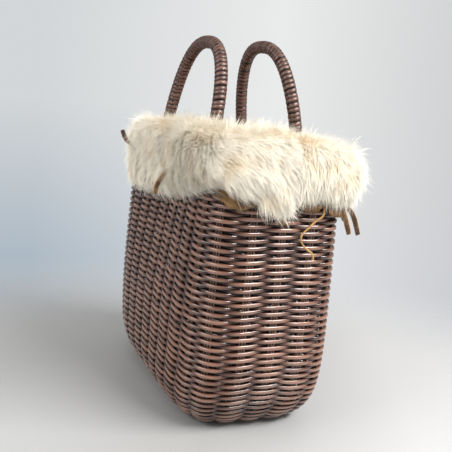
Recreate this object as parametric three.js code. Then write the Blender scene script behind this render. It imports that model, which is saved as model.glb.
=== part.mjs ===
// Basket tote bag: a woven cane body on upright stakes, two cane-bound carrying handles
// and a fur cuff of two pelts over the rim, tied with leather laces.
// Millimetres. X runs along the long side, Y across it and Z up. The origin is the middle of the
// base, on the surface that the bag stands on.
import * as THREE from "three";

// Woven body
const LENGTH = 308;
const WIDTH = 160;
const BASE_LENGTH = 212;
const BASE_WIDTH = 100;
const RIM_HEIGHT = 264;
const END_TURN_HEIGHT = 90;
const SIDE_TURN_HEIGHT = 44;
const CORNER_POWER = 4.8;
const WAIST_DEPTH = 24;
const WAIST_START = 100;
const WAIST_POWER = 1.4;
const WALL = 6;
const BORDER_HEIGHT = 10;
const BORDER_OVERHANG = 1.5;
const BORDER_ROUND = 2;

// Woven rows: their number up the wall, how deep they go behind a stake, and how far the proudest
// part of a row stays inside the outer face.
const ROW_COUNT = 80;
const ROW_RELIEF = 2.6;
const ROW_INSET = 0.3;

// Upright stakes. The insets set the stakes beside the corners: how far the last one of a long side
// keeps from the end of the bag, and the last one of an end from the long side.
const STAKE_PITCH = 29;
const SIDE_STAKE_INSET = 38;
const END_STAKE_INSET = 22;
const STAKE_WIDTH = 7.5;
const STAKE_THICKNESS = 2.2;
const CROSS_STAKES = 7;
const LONG_STAKES = 3;
const BYE_STAKE_FOOT = 26;
const STAKE_GAP = 0.8;

// Handles
const LEG_SPACING = 5 * STAKE_PITCH;
const HANDLE_RISE = 116;
const HANDLE_LEAN = 9;
const HANDLE_POWER = 2.5;
const CORE_DIAMETER = 9;
const LEG_SINK = 6;
const TAIL_LENGTH = 80;
const BINDING_DIAMETER = 2;
const BINDING_LOOPS = 22;
const BINDING_START = 20;
const FOOT_DOME_DEGREES = [20, 50, 75];

// Fur cuff
const SKIN = 1.5;
const SKIN_SHOWS = 6;
const OVERHANG_END = 28;
const OVERHANG_SIDE = 58;
const LOBE_DROP = 20;
const LOBE_REACH = 30;
const FUR_THICKNESS = 22;
const FUR_CORNER_THICKNESS = 12;
const FUR_RISE = 24;
const FUR_NEAR_RISE = 32;
const FUR_FAR_RISE = 18;
const FUR_SETBACK = 6;
const FUR_LEAN_IN = 14;
const FUR_SIDE_SPAN = 100;
const SEAM_GAP = 0.6;

// Outer face of the fur, from its lower edge to the rim's level, as shares of its thickness and of
// the overhang, and then up to its crown, as shares of its thickness and of its rise.
const FUR_DROP_PROFILE = [
  [0.6, 0.97],
  [1, 0.75],
  [1.05, 0.4],
  [1, 0],
];
const FUR_CROWN_PROFILE = [
  [0.75, 0.6],
  [0.3, 0.95],
];
const FUR_INNER_SHARE = 0.4;

// Leather laces
const THONG_DIAMETER = 2.5;
const TAIL_LACE_DIAMETER = 4;

// Clearance between neighbouring pieces
const GAP = 0.4;

// Mesh fineness
const STATIONS = 56;
const ROD_SIDES = 8;
const BINDING_SIDES = 5;
const BINDING_STEPS = 10;
const HANDLE_STEPS = 30;
const TURN_STEPS = 4;
const UPPER_STEPS = 3;
const STATION_BEND = 24;
const CLIMB_SAMPLES = 120;
const TAIL_STEPS = 3;
const LACE_STEP_DIAMETERS = 2.5;

const HALF_TURN = Math.PI;
const FULL_TURN = 2 * Math.PI;

const materials = {
  weave: { color: 0x5d463b, roughness: 0.5, metalness: 0 },
  stake: { color: 0x54403a, roughness: 0.55, metalness: 0 },
  handle: { color: 0x4a3230, roughness: 0.5, metalness: 0 },
  binding: { color: 0x63433a, roughness: 0.4, metalness: 0 },
  fur: { color: 0xefe6d4, roughness: 0.95, metalness: 0 },
  skin: { color: 0x96703c, roughness: 0.75, metalness: 0 },
  lace: { color: 0xa8763a, roughness: 0.7, metalness: 0 },
};

const bag = new THREE.Group();

function addPiece(name, geometry, look) {
  const mesh = new THREE.Mesh(geometry, new THREE.MeshStandardMaterial(materials[look]));
  mesh.name = name;
  bag.add(mesh);
}

// Joins equal sections into one closed body. An open run gets a flat cap at each end, cut into
// triangles in the plane of capOutline, which lists the section's points in two dimensions. Each
// four-cornered patch is cut along one diagonal, and otherDiagonal says where it is the other one.
function loft(sections, closed, capOutline, otherDiagonal = () => false) {
  const count = sections[0].length;
  const points = sections.flat();
  const faces = [];
  const runs = closed ? sections.length : sections.length - 1;
  for (let i = 0; i < runs; i += 1) {
    const here = i * count;
    const next = ((i + 1) % sections.length) * count;
    for (let j = 0; j < count; j += 1) {
      const k = (j + 1) % count;
      const [a, b, c, d] = [here + j, next + j, next + k, here + k];
      if (otherDiagonal(i, j)) faces.push([a, b, d], [b, c, d]);
      else faces.push([a, b, c], [a, c, d]);
    }
  }
  if (!closed) {
    const last = (sections.length - 1) * count;
    const outlineArea = THREE.ShapeUtils.area(capOutline);
    for (const cut of THREE.ShapeUtils.triangulateShape(capOutline, [])) {
      const cutArea = THREE.ShapeUtils.area(cut.map((i) => capOutline[i]));
      const [a, b, c] = cutArea * outlineArea > 0 ? cut : [...cut].reverse();
      faces.push([a, b, c], [last + c, last + b, last + a]);
    }
  }
  return closedGeometry(points, faces);
}

// Faces are turned to point outwards.
function closedGeometry(points, faces) {
  let volume = 0;
  for (const [a, b, c] of faces) {
    volume += points[a].dot(points[b].clone().cross(points[c]));
  }
  const index = faces.flatMap(([a, b, c]) => (volume < 0 ? [a, c, b] : [a, b, c]));
  const geometry = new THREE.BufferGeometry();
  geometry.setFromPoints(points);
  geometry.setIndex(index);
  geometry.computeVertexNormals();
  return geometry;
}

function circleOutline(sides) {
  return Array.from({ length: sides }, (_, i) => {
    const turn = (FULL_TURN * i) / sides;
    return new THREE.Vector2(Math.cos(turn), Math.sin(turn));
  });
}

// A round rod through a list of stops, each with a centre, two square directions and a radius.
function rod(stops, sides) {
  const circle = circleOutline(sides);
  const sections = stops.map(({ centre, across, out, radius }) =>
    circle.map((p) =>
      centre
        .clone()
        .addScaledVector(across, p.x * radius)
        .addScaledVector(out, p.y * radius),
    ),
  );
  return loft(sections, false, circle);
}

// Outline of the body: a rounded rectangle whose long sides draw in at the waist.
function powered(value) {
  return Math.sign(value) * Math.abs(value) ** (2 / CORNER_POWER);
}

function outlinePoint(turn, halfLength, halfWidth, waist) {
  const x = halfLength * powered(Math.cos(turn));
  const y = halfWidth * powered(Math.sin(turn));
  const drawn = waist * Math.max(0, Math.cos((HALF_TURN * x) / LENGTH));
  const inward = Math.min(drawn, Math.abs(y));
  return new THREE.Vector2(x, y - Math.sign(y) * inward);
}

// Stations round the outline share out its length and its bends evenly. The first lies at the
// middle of the +X end and the run is mirrored, so a station lies at the middle of each side.
function stationTurns() {
  const quarter = STATIONS / 4;
  const samples = 2000;
  const bendShare = 0.5;
  const at = (i) => {
    const turn = ((HALF_TURN / 2) * i) / samples;
    return outlinePoint(turn, LENGTH / 2, WIDTH / 2, WAIST_DEPTH / 2);
  };
  const steps = Array.from({ length: samples }, (_, i) => at(i + 1).sub(at(i)));
  const path = steps.reduce((sum, step) => sum + step.length(), 0);
  const weights = steps.map((step, i) => {
    const bend = i ? Math.abs(step.angle() - steps[i - 1].angle()) : 0;
    return ((1 - bendShare) * step.length()) / path + (bendShare * bend) / (HALF_TURN / 2);
  });
  const total = weights.reduce((sum, weight) => sum + weight, 0);
  const turns = [0];
  let run = 0;
  weights.forEach((weight, i) => {
    run += weight;
    while (turns.length < quarter && run >= (total * turns.length) / quarter) {
      turns.push(((HALF_TURN / 2) * (i + 1)) / samples);
    }
  });
  const half = [...turns, HALF_TURN / 2, ...turns.slice(1).reverse().map((t) => HALF_TURN - t)];
  return [...half, ...half.map((t) => t + HALF_TURN)];
}

const turns = stationTurns();

// Half size of the body at a height, on the surface that lies depth inside the outer face.
function halfSize(z, depth, base, full, turnHeight) {
  const lift = Math.min(1, Math.max(0, (z - depth) / (turnHeight - depth)));
  const swell = Math.sqrt(1 - (1 - lift) ** 2);
  return base / 2 + (full / 2 - depth - base / 2) * swell;
}

function bodyPoint(turn, z, depth) {
  const level = Math.min(z, RIM_HEIGHT);
  const rise = Math.max(0, (level - WAIST_START) / (RIM_HEIGHT - WAIST_START));
  const point = outlinePoint(
    turn,
    halfSize(level, depth, BASE_LENGTH, LENGTH, END_TURN_HEIGHT),
    halfSize(level, depth, BASE_WIDTH, WIDTH, SIDE_TURN_HEIGHT),
    WAIST_DEPTH * rise ** WAIST_POWER,
  );
  return new THREE.Vector3(point.x, point.y, z);
}

// Heights of the rings of the woven wall, from its foot to a top height.
function ringHeights(foot, top) {
  const heights = [];
  for (let i = 0; i < TURN_STEPS; i += 1) {
    const turn = ((HALF_TURN / 2) * i) / TURN_STEPS;
    heights.push(foot + (SIDE_TURN_HEIGHT - foot) * (1 - Math.cos(turn)));
  }
  heights.push(SIDE_TURN_HEIGHT, (SIDE_TURN_HEIGHT + END_TURN_HEIGHT) / 2, END_TURN_HEIGHT);
  for (let i = 1; i <= UPPER_STEPS; i += 1) {
    heights.push(END_TURN_HEIGHT + ((top - END_TURN_HEIGHT) * i) / UPPER_STEPS);
  }
  return heights;
}

// The outline turn at which the upper wall reaches a place along X on a long side.
function turnAtX(x) {
  const half = LENGTH / 2 - WALL;
  return Math.acos(Math.sign(x) * Math.abs(x / half) ** (CORNER_POWER / 2));
}

// The outline turn at which the upper wall reaches a place along Y on the +X end.
function turnAtY(y) {
  const half = WIDTH / 2 - WALL;
  return Math.asin(Math.sign(y) * Math.abs(y / half) ** (CORNER_POWER / 2));
}

// Turns of the stakes on the back side and on the +X end. The first and the last of each list stand
// beside the corners. The front side and the -X end mirror them.
function stakePlaces(count, last) {
  const between = Array.from({ length: count }, (_, i) => (i - (count - 1) / 2) * STAKE_PITCH);
  return [-last, ...between, last];
}

const crossTurns = stakePlaces(CROSS_STAKES, LENGTH / 2 - SIDE_STAKE_INSET).map(turnAtX);
const longTurns = stakePlaces(LONG_STAKES, WIDTH / 2 - END_STAKE_INSET).map(turnAtY);

// All the stakes' turns in order round the wall, from the middle of the +X end.
const stakeTurns = [
  ...crossTurns.flatMap((turn) => [turn, -turn]),
  ...longTurns.flatMap((turn) => [turn, HALF_TURN - turn]),
]
  .map((turn) => (turn + FULL_TURN) % FULL_TURN)
  .sort((a, b) => a - b);

// How far the outline turns between two places on it, in degrees.
function bendBetween(first, last) {
  const step = 0.001;
  const heading = (turn) => {
    const ahead = outlinePoint(turn + step, LENGTH / 2, WIDTH / 2, 0);
    return ahead.sub(outlinePoint(turn - step, LENGTH / 2, WIDTH / 2, 0)).angle();
  };
  const bend = (heading(last) - heading(first) + FULL_TURN) % FULL_TURN;
  return THREE.MathUtils.radToDeg(bend);
}

// The weave's stations lie at the stakes, with more between two stakes where the outline bends.
// Swing says how the first row passes: 1 in front of a stake, -1 behind the next one.
const weaveStations = stakeTurns.flatMap((turn, stake) => {
  const next = stakeTurns[stake + 1] ?? stakeTurns[0] + FULL_TURN;
  const steps = 1 + Math.round(bendBetween(turn, next) / STATION_BEND);
  const side = stake % 2 ? -1 : 1;
  return Array.from({ length: steps }, (_, i) => ({
    turn: turn + ((next - turn) * i) / steps,
    swing: side * (1 - (2 * i) / steps),
    stake,
  }));
});

// Woven base, siding and border
function baseWeave() {
  const outline = weaveStations.map(({ turn }) =>
    outlinePoint(turn, BASE_LENGTH / 2 - GAP, BASE_WIDTH / 2 - GAP, 0),
  );
  return new THREE.ExtrudeGeometry(new THREE.Shape(outline), {
    depth: WALL,
    bevelEnabled: false,
  });
}

const sidingTop = RIM_HEIGHT - BORDER_HEIGHT - GAP;

// The profile of the wall at one turn, on the surface that lies depth inside its outer face.
function climb(turn, depth) {
  const points = Array.from({ length: CLIMB_SAMPLES + 1 }, (_, i) => {
    const share = (i / CLIMB_SAMPLES) ** 2;
    return bodyPoint(turn, depth + (sidingTop - depth) * share, depth);
  });
  return new THREE.CatmullRomCurve3(points);
}

// The outer face carries the rows: each goes in front of one stake and behind the next, and the row
// above it does the opposite.
function sidingWeave() {
  const innerHeights = ringHeights(WALL, sidingTop).reverse();
  const sections = weaveStations.map(({ turn, swing }) => {
    const outer = climb(turn, 0);
    const inner = climb(turn, WALL);
    const within = (share, depth) =>
      outer.getPointAt(share).lerp(inner.getPointAt(share), depth / WALL);
    const rows = Array.from({ length: ROW_COUNT }, (_, row) => {
      const over = row % 2 ? -swing : swing;
      return within((row + 0.5) / ROW_COUNT, ROW_INSET + (ROW_RELIEF * (1 - over)) / 2);
    });
    return [
      within(0, 0),
      ...rows,
      within(1, ROW_INSET),
      ...innerHeights.map((z) => bodyPoint(turn, z, WALL)),
    ];
  });
  const alongGroove = (station, ring) => (weaveStations[station].stake + ring) % 2 === 1;
  return loft(sections, true, undefined, alongGroove);
}

function rimBorder() {
  const foot = RIM_HEIGHT - BORDER_HEIGHT;
  const shoulder = RIM_HEIGHT - BORDER_ROUND;
  const outside = -BORDER_OVERHANG;
  const inside = WALL + BORDER_OVERHANG;
  const sections = turns.map((turn) => [
    bodyPoint(turn, foot, outside),
    bodyPoint(turn, shoulder, outside),
    bodyPoint(turn, RIM_HEIGHT, outside + BORDER_ROUND),
    bodyPoint(turn, RIM_HEIGHT, inside - BORDER_ROUND),
    bodyPoint(turn, shoulder, inside),
    bodyPoint(turn, foot, inside),
  ]);
  return loft(sections, true);
}

// Stakes: flat bundles of cane that stand against the inside of the wall.
const stakeDepth = WALL + STAKE_GAP;
const stakeTop = sidingTop - STAKE_GAP;
const crossingDepth = stakeDepth + STAKE_THICKNESS + STAKE_GAP;

function stakeSection(turn, z, depth) {
  const turnStep = 0.02;
  const heightStep = 0.2;
  const centre = bodyPoint(turn, z, depth);
  const along = bodyPoint(turn + turnStep, z, depth).sub(bodyPoint(turn - turnStep, z, depth));
  const upward = bodyPoint(turn, z + heightStep, depth).sub(bodyPoint(turn, z - heightStep, depth));
  const inward = upward.cross(along).normalize().multiplyScalar(STAKE_THICKNESS);
  const halfWidth = along.normalize().multiplyScalar(STAKE_WIDTH / 2);
  const edges = [centre.clone().sub(halfWidth), centre.clone().add(halfWidth)];
  return [edges[0], edges[1], edges[1].clone().add(inward), edges[0].clone().add(inward)];
}

const stakeOutline = [
  new THREE.Vector2(-STAKE_WIDTH / 2, 0),
  new THREE.Vector2(STAKE_WIDTH / 2, 0),
  new THREE.Vector2(STAKE_WIDTH / 2, STAKE_THICKNESS),
  new THREE.Vector2(-STAKE_WIDTH / 2, STAKE_THICKNESS),
];

// Sections up one wall. The depth goes from footDepth at the foot to stakeDepth at full turn.
function stakeRun(turn, footHeight, footDepth) {
  const heights = ringHeights(footDepth, stakeTop).filter((z) => z > footHeight);
  return heights.map((z) => {
    const share = Math.min(1, z / END_TURN_HEIGHT);
    return stakeSection(turn, z, footDepth + (stakeDepth - footDepth) * share);
  });
}

// A stake that runs up one wall, across the base and up the other.
function throughStake(turn, opposite, footDepth) {
  const up = stakeRun(turn, 0, footDepth);
  const down = stakeRun(opposite, 0, footDepth);
  const mirrored = down.map(([a, b, c, d]) => [b, a, d, c]).reverse();
  return loft([...mirrored, ...up], false, stakeOutline);
}

function byeStake(turn) {
  return loft(stakeRun(turn, BYE_STAKE_FOOT, stakeDepth), false, stakeOutline);
}

// Handles
const coreRadius = CORE_DIAMETER / 2;
const legY = (() => {
  const turn = turnAtX(LEG_SPACING / 2);
  const borderInside = bodyPoint(turn, RIM_HEIGHT, WALL + BORDER_OVERHANG).y;
  return borderInside - GAP - coreRadius;
})();
const pivotZ = RIM_HEIGHT - LEG_SINK;
const lean = THREE.MathUtils.degToRad(HANDLE_LEAN);

// The handle's plane leans in from the pivot line between its two legs.
function handleFrame(side) {
  return {
    foot: new THREE.Vector3(0, side * legY, pivotZ),
    rise: new THREE.Vector3(0, -side * Math.sin(lean), Math.cos(lean)),
    out: new THREE.Vector3(0, side * Math.cos(lean), Math.sin(lean)),
  };
}

function archPoint(share) {
  const turn = HALF_TURN * (1 - share);
  const spread = (value) => Math.sign(value) * Math.abs(value) ** (2 / HANDLE_POWER);
  return new THREE.Vector2(
    (LEG_SPACING / 2) * spread(Math.cos(turn)),
    HANDLE_RISE * spread(Math.max(0, Math.sin(turn))),
  );
}

// Even steps along the arch, with the direction of travel at each.
const archSamples = 600;
const archDense = Array.from({ length: archSamples + 1 }, (_, i) => archPoint(i / archSamples));
const archRun = archDense.reduce((runs, point, i) => {
  runs.push(i ? runs[i - 1] + point.distanceTo(archDense[i - 1]) : 0);
  return runs;
}, []);
const archLength = archRun[archSamples];

function archAt(distance) {
  let i = archRun.findIndex((run) => run >= distance);
  i = Math.min(archSamples, Math.max(1, i < 0 ? archSamples : i));
  const span = archRun[i] - archRun[i - 1];
  const point = archDense[i - 1].clone().lerp(archDense[i], (distance - archRun[i - 1]) / span);
  const travel = archDense[i].clone().sub(archDense[i - 1]).normalize();
  return { point, travel };
}

function onHandle(frame, point) {
  return frame.foot
    .clone()
    .addScaledVector(new THREE.Vector3(1, 0, 0), point.x)
    .addScaledVector(frame.rise, point.y);
}

function handleStop(frame, distance, radius) {
  const { point, travel } = archAt(distance);
  const inPlane = new THREE.Vector2(-travel.y, travel.x);
  const across = new THREE.Vector3(inPlane.x, 0, 0).addScaledVector(frame.rise, inPlane.y);
  return { centre: onHandle(frame, point), across, out: frame.out, radius };
}

// Each foot is domed about the pivot line.
function handleCore(frame) {
  const dome = FOOT_DOME_DEGREES.map((degrees) => THREE.MathUtils.degToRad(degrees));
  const feet = (end) =>
    dome.map((turn) => {
      const stop = handleStop(frame, end, coreRadius * Math.sin(turn));
      stop.centre.addScaledVector(frame.rise, -coreRadius * Math.cos(turn));
      return stop;
    });
  const body = Array.from({ length: HANDLE_STEPS + 1 }, (_, i) =>
    handleStop(frame, (archLength * i) / HANDLE_STEPS, coreRadius),
  );
  return rod([...feet(0), ...body, ...feet(archLength).reverse()], ROD_SIDES);
}

// The binding winds round the core at a steady rate. Each end leaves along the leg for one
// diameter of the cane.
const bindingRadius = coreRadius + GAP + BINDING_DIAMETER / 2;

function bindingStops(frame) {
  const wound = archLength - 2 * BINDING_START;
  const steps = BINDING_LOOPS * BINDING_STEPS;
  const stops = Array.from({ length: steps + 1 }, (_, i) => {
    const turn = (FULL_TURN * i) / BINDING_STEPS;
    const { centre, across, out } = handleStop(frame, BINDING_START + (wound * i) / steps, 1);
    const spoke = across.multiplyScalar(Math.cos(turn)).addScaledVector(out, Math.sin(turn));
    return { centre: centre.addScaledVector(spoke, bindingRadius), spoke };
  });
  const straightEnd = ({ centre, spoke }) => ({
    centre: centre.clone().addScaledVector(frame.rise, -BINDING_DIAMETER),
    spoke,
  });
  return [straightEnd(stops[0]), ...stops, straightEnd(stops[steps])];
}

function leastSelfGap(stops) {
  let least = Infinity;
  for (let i = 0; i < stops.length; i += 1) {
    for (let j = i + BINDING_STEPS / 2; j < stops.length; j += 1) {
      least = Math.min(least, stops[i].centre.distanceTo(stops[j].centre) - BINDING_DIAMETER);
    }
  }
  return least;
}

function handleBinding(frame, stops) {
  const last = stops.length - 1;
  const sections = stops.map(({ centre, spoke }, i) => {
    const before = stops[Math.max(0, i - 1)].centre;
    const after = stops[Math.min(last, i + 1)].centre;
    const heading = after.clone().sub(before).normalize();
    const out = spoke.clone().addScaledVector(heading, -spoke.dot(heading)).normalize();
    return { centre, across: out.clone().cross(heading), out, radius: BINDING_DIAMETER / 2 };
  });
  return rod(sections, BINDING_SIDES);
}

// The tail of each leg runs down the inside of the wall, below the foot of the handle.
function legTail(side, end) {
  const turn = side * turnAtX((end * LEG_SPACING) / 2);
  const top = pivotZ - coreRadius - GAP;
  const standoff = Math.abs(bodyPoint(turn, RIM_HEIGHT, WALL).y) - legY;
  const stops = Array.from({ length: TAIL_STEPS + 1 }, (_, i) => {
    const z = top - (TAIL_LENGTH * i) / TAIL_STEPS;
    const wall = bodyPoint(turn, z, WALL);
    return {
      centre: new THREE.Vector3((end * LEG_SPACING) / 2, wall.y - side * standoff, z),
      across: new THREE.Vector3(1, 0, 0),
      out: new THREE.Vector3(0, 1, 0),
      radius: coreRadius,
    };
  });
  return rod(stops, ROD_SIDES);
}

// Fur cuff: each pelt hangs over one long side and half of each end.
// A section lists places as [outward from the wall, above the rim].
const skinIn = BORDER_OVERHANG + GAP;
const skinOut = skinIn + SKIN;
const skinTop = GAP + SKIN;
const cuffInside = -(WALL + BORDER_OVERHANG);
const tuckHeight = 2 * BORDER_HEIGHT;

function overhangAt(turn) {
  const { x, y } = bodyPoint(turn, RIM_HEIGHT, 0);
  const middle = Math.max(0, Math.cos((HALF_TURN * x) / LENGTH)) ** 2;
  const nearSeam = Math.max(0, 1 - Math.abs(y) / LOBE_REACH) * (Math.abs(x) > LENGTH / 4 ? 1 : 0);
  const lobe = LOBE_DROP * Math.sin((HALF_TURN / 2) * nearSeam) ** 2;
  return OVERHANG_END + (OVERHANG_SIDE - OVERHANG_END) * middle + lobe;
}

function skinPlaces(overhang) {
  const low = -overhang - SKIN_SHOWS;
  return [
    [cuffInside, GAP],
    [skinIn, GAP],
    [skinIn, -BORDER_HEIGHT - GAP],
    [GAP, -tuckHeight],
    [GAP, (low - tuckHeight) / 2],
    [GAP, low],
    [GAP + SKIN, low],
    [GAP + SKIN, (low - tuckHeight) / 2],
    [GAP + SKIN, -tuckHeight],
    [skinOut, -BORDER_HEIGHT - GAP],
    [skinOut, skinTop],
    [cuffInside, skinTop],
  ];
}

// The fur is thinner round the corners. Its crown is even along the part of the long sides where the
// handles stand, and higher at the +X end than at the -X end. At both ends it leans in over the opening.
function furPlaces(overhang, turn) {
  const corner = Math.sin(2 * turn) ** 2;
  const thickness = FUR_THICKNESS + (FUR_CORNER_THICKNESS - FUR_THICKNESS) * corner;
  const { x } = bodyPoint(turn, RIM_HEIGHT, 0);
  const atEnd = THREE.MathUtils.smoothstep(Math.abs(x), FUR_SIDE_SPAN / 2, LENGTH / 2);
  const crown = FUR_RISE + ((x > 0 ? FUR_NEAR_RISE : FUR_FAR_RISE) - FUR_RISE) * atEnd;
  const pastLegs = THREE.MathUtils.smoothstep(Math.abs(x), FUR_SIDE_SPAN, LENGTH / 2);
  const inside = cuffInside + FUR_SETBACK - FUR_LEAN_IN * pastLegs;
  const backTop = skinTop + GAP;
  const back = skinOut + GAP;
  const backLow = 2 * GAP + SKIN;
  return [
    [cuffInside, backTop],
    [back, backTop],
    [back, -BORDER_HEIGHT - GAP],
    [backLow, -tuckHeight],
    [backLow, -(overhang + tuckHeight + SKIN_SHOWS) / 2],
    [backLow, -overhang],
    ...FUR_DROP_PROFILE.map(([out, drop]) => [out * thickness, -drop * overhang]),
    ...FUR_CROWN_PROFILE.map(([out, rise]) => [out * thickness, rise * crown]),
    [inside, crown],
    [inside, FUR_INNER_SHARE * crown],
  ];
}

function pelt(side, places) {
  const half = STATIONS / 2;
  const first = side < 0 ? half : 0;
  const sections = Array.from({ length: half + 1 }, (_, i) => {
    const turn = (turns[(first + i) % STATIONS] + FULL_TURN) % FULL_TURN;
    const atSeam = i === 0 || i === half;
    return places(overhangAt(turn), turn).map(([outward, above]) => {
      const point = bodyPoint(turn, RIM_HEIGHT + above, -outward);
      if (atSeam) point.y = (side * SEAM_GAP) / 2;
      return point;
    });
  });
  const endPlaces = places(overhangAt(0), 0);
  const capOutline = endPlaces.map(([outward, above]) => new THREE.Vector2(outward, above));
  return loft(sections, false, capOutline);
}

// Leather laces: routes of the free ends, from where they leave the cuff.
const laceRoutes = {
  lace_thong: {
    diameter: THONG_DIAMETER,
    points: [
      [156.7, 37.6, 230],
      [158.6, 35.6, 223],
      [159.8, 28.2, 218.5],
      [160.4, 21.2, 212],
      [160, 15.2, 205.5],
      [159.4, 15.2, 201],
      [158.8, 18.6, 195],
      [158.6, 24, 190.5],
      [158.6, 29, 187],
      [158.8, 30.6, 181],
    ],
  },
  lace_tail_corner: {
    diameter: TAIL_LACE_DIAMETER,
    points: [
      [150.6, 58.4, 230.5],
      [151.2, 61.4, 226],
      [149.8, 67, 215],
      [148.2, 72.5, 203],
    ],
  },
  lace_tail_back: {
    diameter: TAIL_LACE_DIAMETER,
    points: [
      [147.2, 62.8, 230.5],
      [146.2, 70.4, 227],
      [142, 80, 217],
      [138, 89, 200],
    ],
  },
  lace_tail_front: {
    diameter: TAIL_LACE_DIAMETER,
    points: [
      [54, -87.6, 248],
      [51, -90.1, 240],
      [46, -91.2, 230],
      [41, -90.4, 220],
    ],
  },
  lace_tail_far: {
    diameter: TAIL_LACE_DIAMETER,
    points: [
      [-62, -88.2, 248],
      [-68.5, -89.8, 256],
      [-77, -92, 263],
      [-86, -95.5, 269],
    ],
  },
};

function lace({ diameter, points }) {
  const route = new THREE.CatmullRomCurve3(points.map((p) => new THREE.Vector3(...p)));
  const section = new THREE.Shape(
    circleOutline(ROD_SIDES).map((p) => p.multiplyScalar(diameter / 2)),
  );
  return new THREE.ExtrudeGeometry(section, {
    steps: Math.ceil(route.getLength() / (LACE_STEP_DIAMETERS * diameter)),
    extrudePath: route,
  });
}

// Assembly
addPiece("base_weave", baseWeave(), "weave");
addPiece("siding_weave", sidingWeave(), "weave");
addPiece("rim_border", rimBorder(), "weave");

for (let i = 1; i <= CROSS_STAKES; i += 1) {
  const turn = crossTurns[i];
  addPiece(`cross_stake_${i}`, throughStake(turn, -turn, stakeDepth), "stake");
}
for (let i = 1; i <= LONG_STAKES; i += 1) {
  const turn = longTurns[i];
  addPiece(`long_stake_${i}`, throughStake(turn, HALF_TURN - turn, crossingDepth), "stake");
}
const byeTurns = { side: crossTurns[CROSS_STAKES + 1], end: longTurns[LONG_STAKES + 1] };
for (const [place, turn] of Object.entries(byeTurns)) {
  [turn, HALF_TURN - turn, HALF_TURN + turn, -turn].forEach((stakeTurn, i) => {
    addPiece(`${place}_stake_${i + 1}`, byeStake(stakeTurn), "stake");
  });
}

const sides = { front: -1, back: 1 };
for (const [sideName, side] of Object.entries(sides)) {
  const frame = handleFrame(side);
  const windings = bindingStops(frame);
  addPiece(`${sideName}_handle_core`, handleCore(frame), "handle");
  addPiece(`${sideName}_handle_binding`, handleBinding(frame, windings), "binding");
  addPiece(`${sideName}_leg_tail_right`, legTail(side, 1), "handle");
  addPiece(`${sideName}_leg_tail_left`, legTail(side, -1), "handle");
  console.log(`${sideName} binding, least gap to itself: ${leastSelfGap(windings).toFixed(2)} mm`);
  addPiece(`${sideName}_pelt_skin`, pelt(side, skinPlaces), "skin");
  addPiece(`${sideName}_pelt_fur`, pelt(side, furPlaces), "fur");
}

for (const [name, route] of Object.entries(laceRoutes)) {
  addPiece(name, lace(route), "lace");
}

export default bag;
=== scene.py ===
# %% [markdown]
# # A basket tote bag
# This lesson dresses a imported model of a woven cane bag: the plain solids become cane rows, bound
# handles, a fur cuff and leather laces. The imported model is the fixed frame, so each piece goes
# where its solid is, in metres, with +Z up and the bag standing on z = 0.

# %% The frame
import math

import bpy
import numpy as np
from mathutils import Matrix, Vector


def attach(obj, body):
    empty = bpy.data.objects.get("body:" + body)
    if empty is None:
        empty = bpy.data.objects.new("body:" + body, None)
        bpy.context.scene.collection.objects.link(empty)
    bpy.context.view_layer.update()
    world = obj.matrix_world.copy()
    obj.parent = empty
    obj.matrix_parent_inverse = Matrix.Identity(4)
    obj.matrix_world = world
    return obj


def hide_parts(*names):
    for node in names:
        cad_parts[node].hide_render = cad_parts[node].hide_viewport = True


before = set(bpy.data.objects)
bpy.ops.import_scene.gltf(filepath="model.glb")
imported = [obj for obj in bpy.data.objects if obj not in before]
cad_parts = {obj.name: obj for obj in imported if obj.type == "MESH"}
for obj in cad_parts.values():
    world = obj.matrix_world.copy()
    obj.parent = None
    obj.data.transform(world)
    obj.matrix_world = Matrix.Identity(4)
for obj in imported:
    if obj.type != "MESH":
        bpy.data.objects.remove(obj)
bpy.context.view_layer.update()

scene = bpy.context.scene

# %% [markdown]
# ## Nodes as arithmetic
# Shader and geometry nodes could be wired one link at a time, but they are easier to read as sums
# and products. A small class holds a socket and turns Python's operators into Math nodes. One
# method makes any other node, and the nodes that come up often have a short name of their own.


# %% Sockets
def operator(operation, reflected=False):
    """A method that turns one of Python's operators into a Math node."""

    def apply(self, other):
        first, second = (other, self) if reflected else (self, other)
        return self.graph.math(operation, first, second)

    return apply


class Flow:
    """A socket in a node tree that takes part in arithmetic on values."""

    def __init__(self, graph, socket):
        self.graph = graph
        self.socket = socket

    def other(self, output):
        """Another output of the same node."""
        return Flow(self.graph, self.socket.node.outputs[output])

    __add__ = __radd__ = operator("ADD")
    __mul__ = __rmul__ = operator("MULTIPLY")
    __sub__, __rsub__ = operator("SUBTRACT"), operator("SUBTRACT", reflected=True)
    __truediv__, __rtruediv__ = operator("DIVIDE"), operator("DIVIDE", reflected=True)
    __pow__ = operator("POWER")


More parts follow.
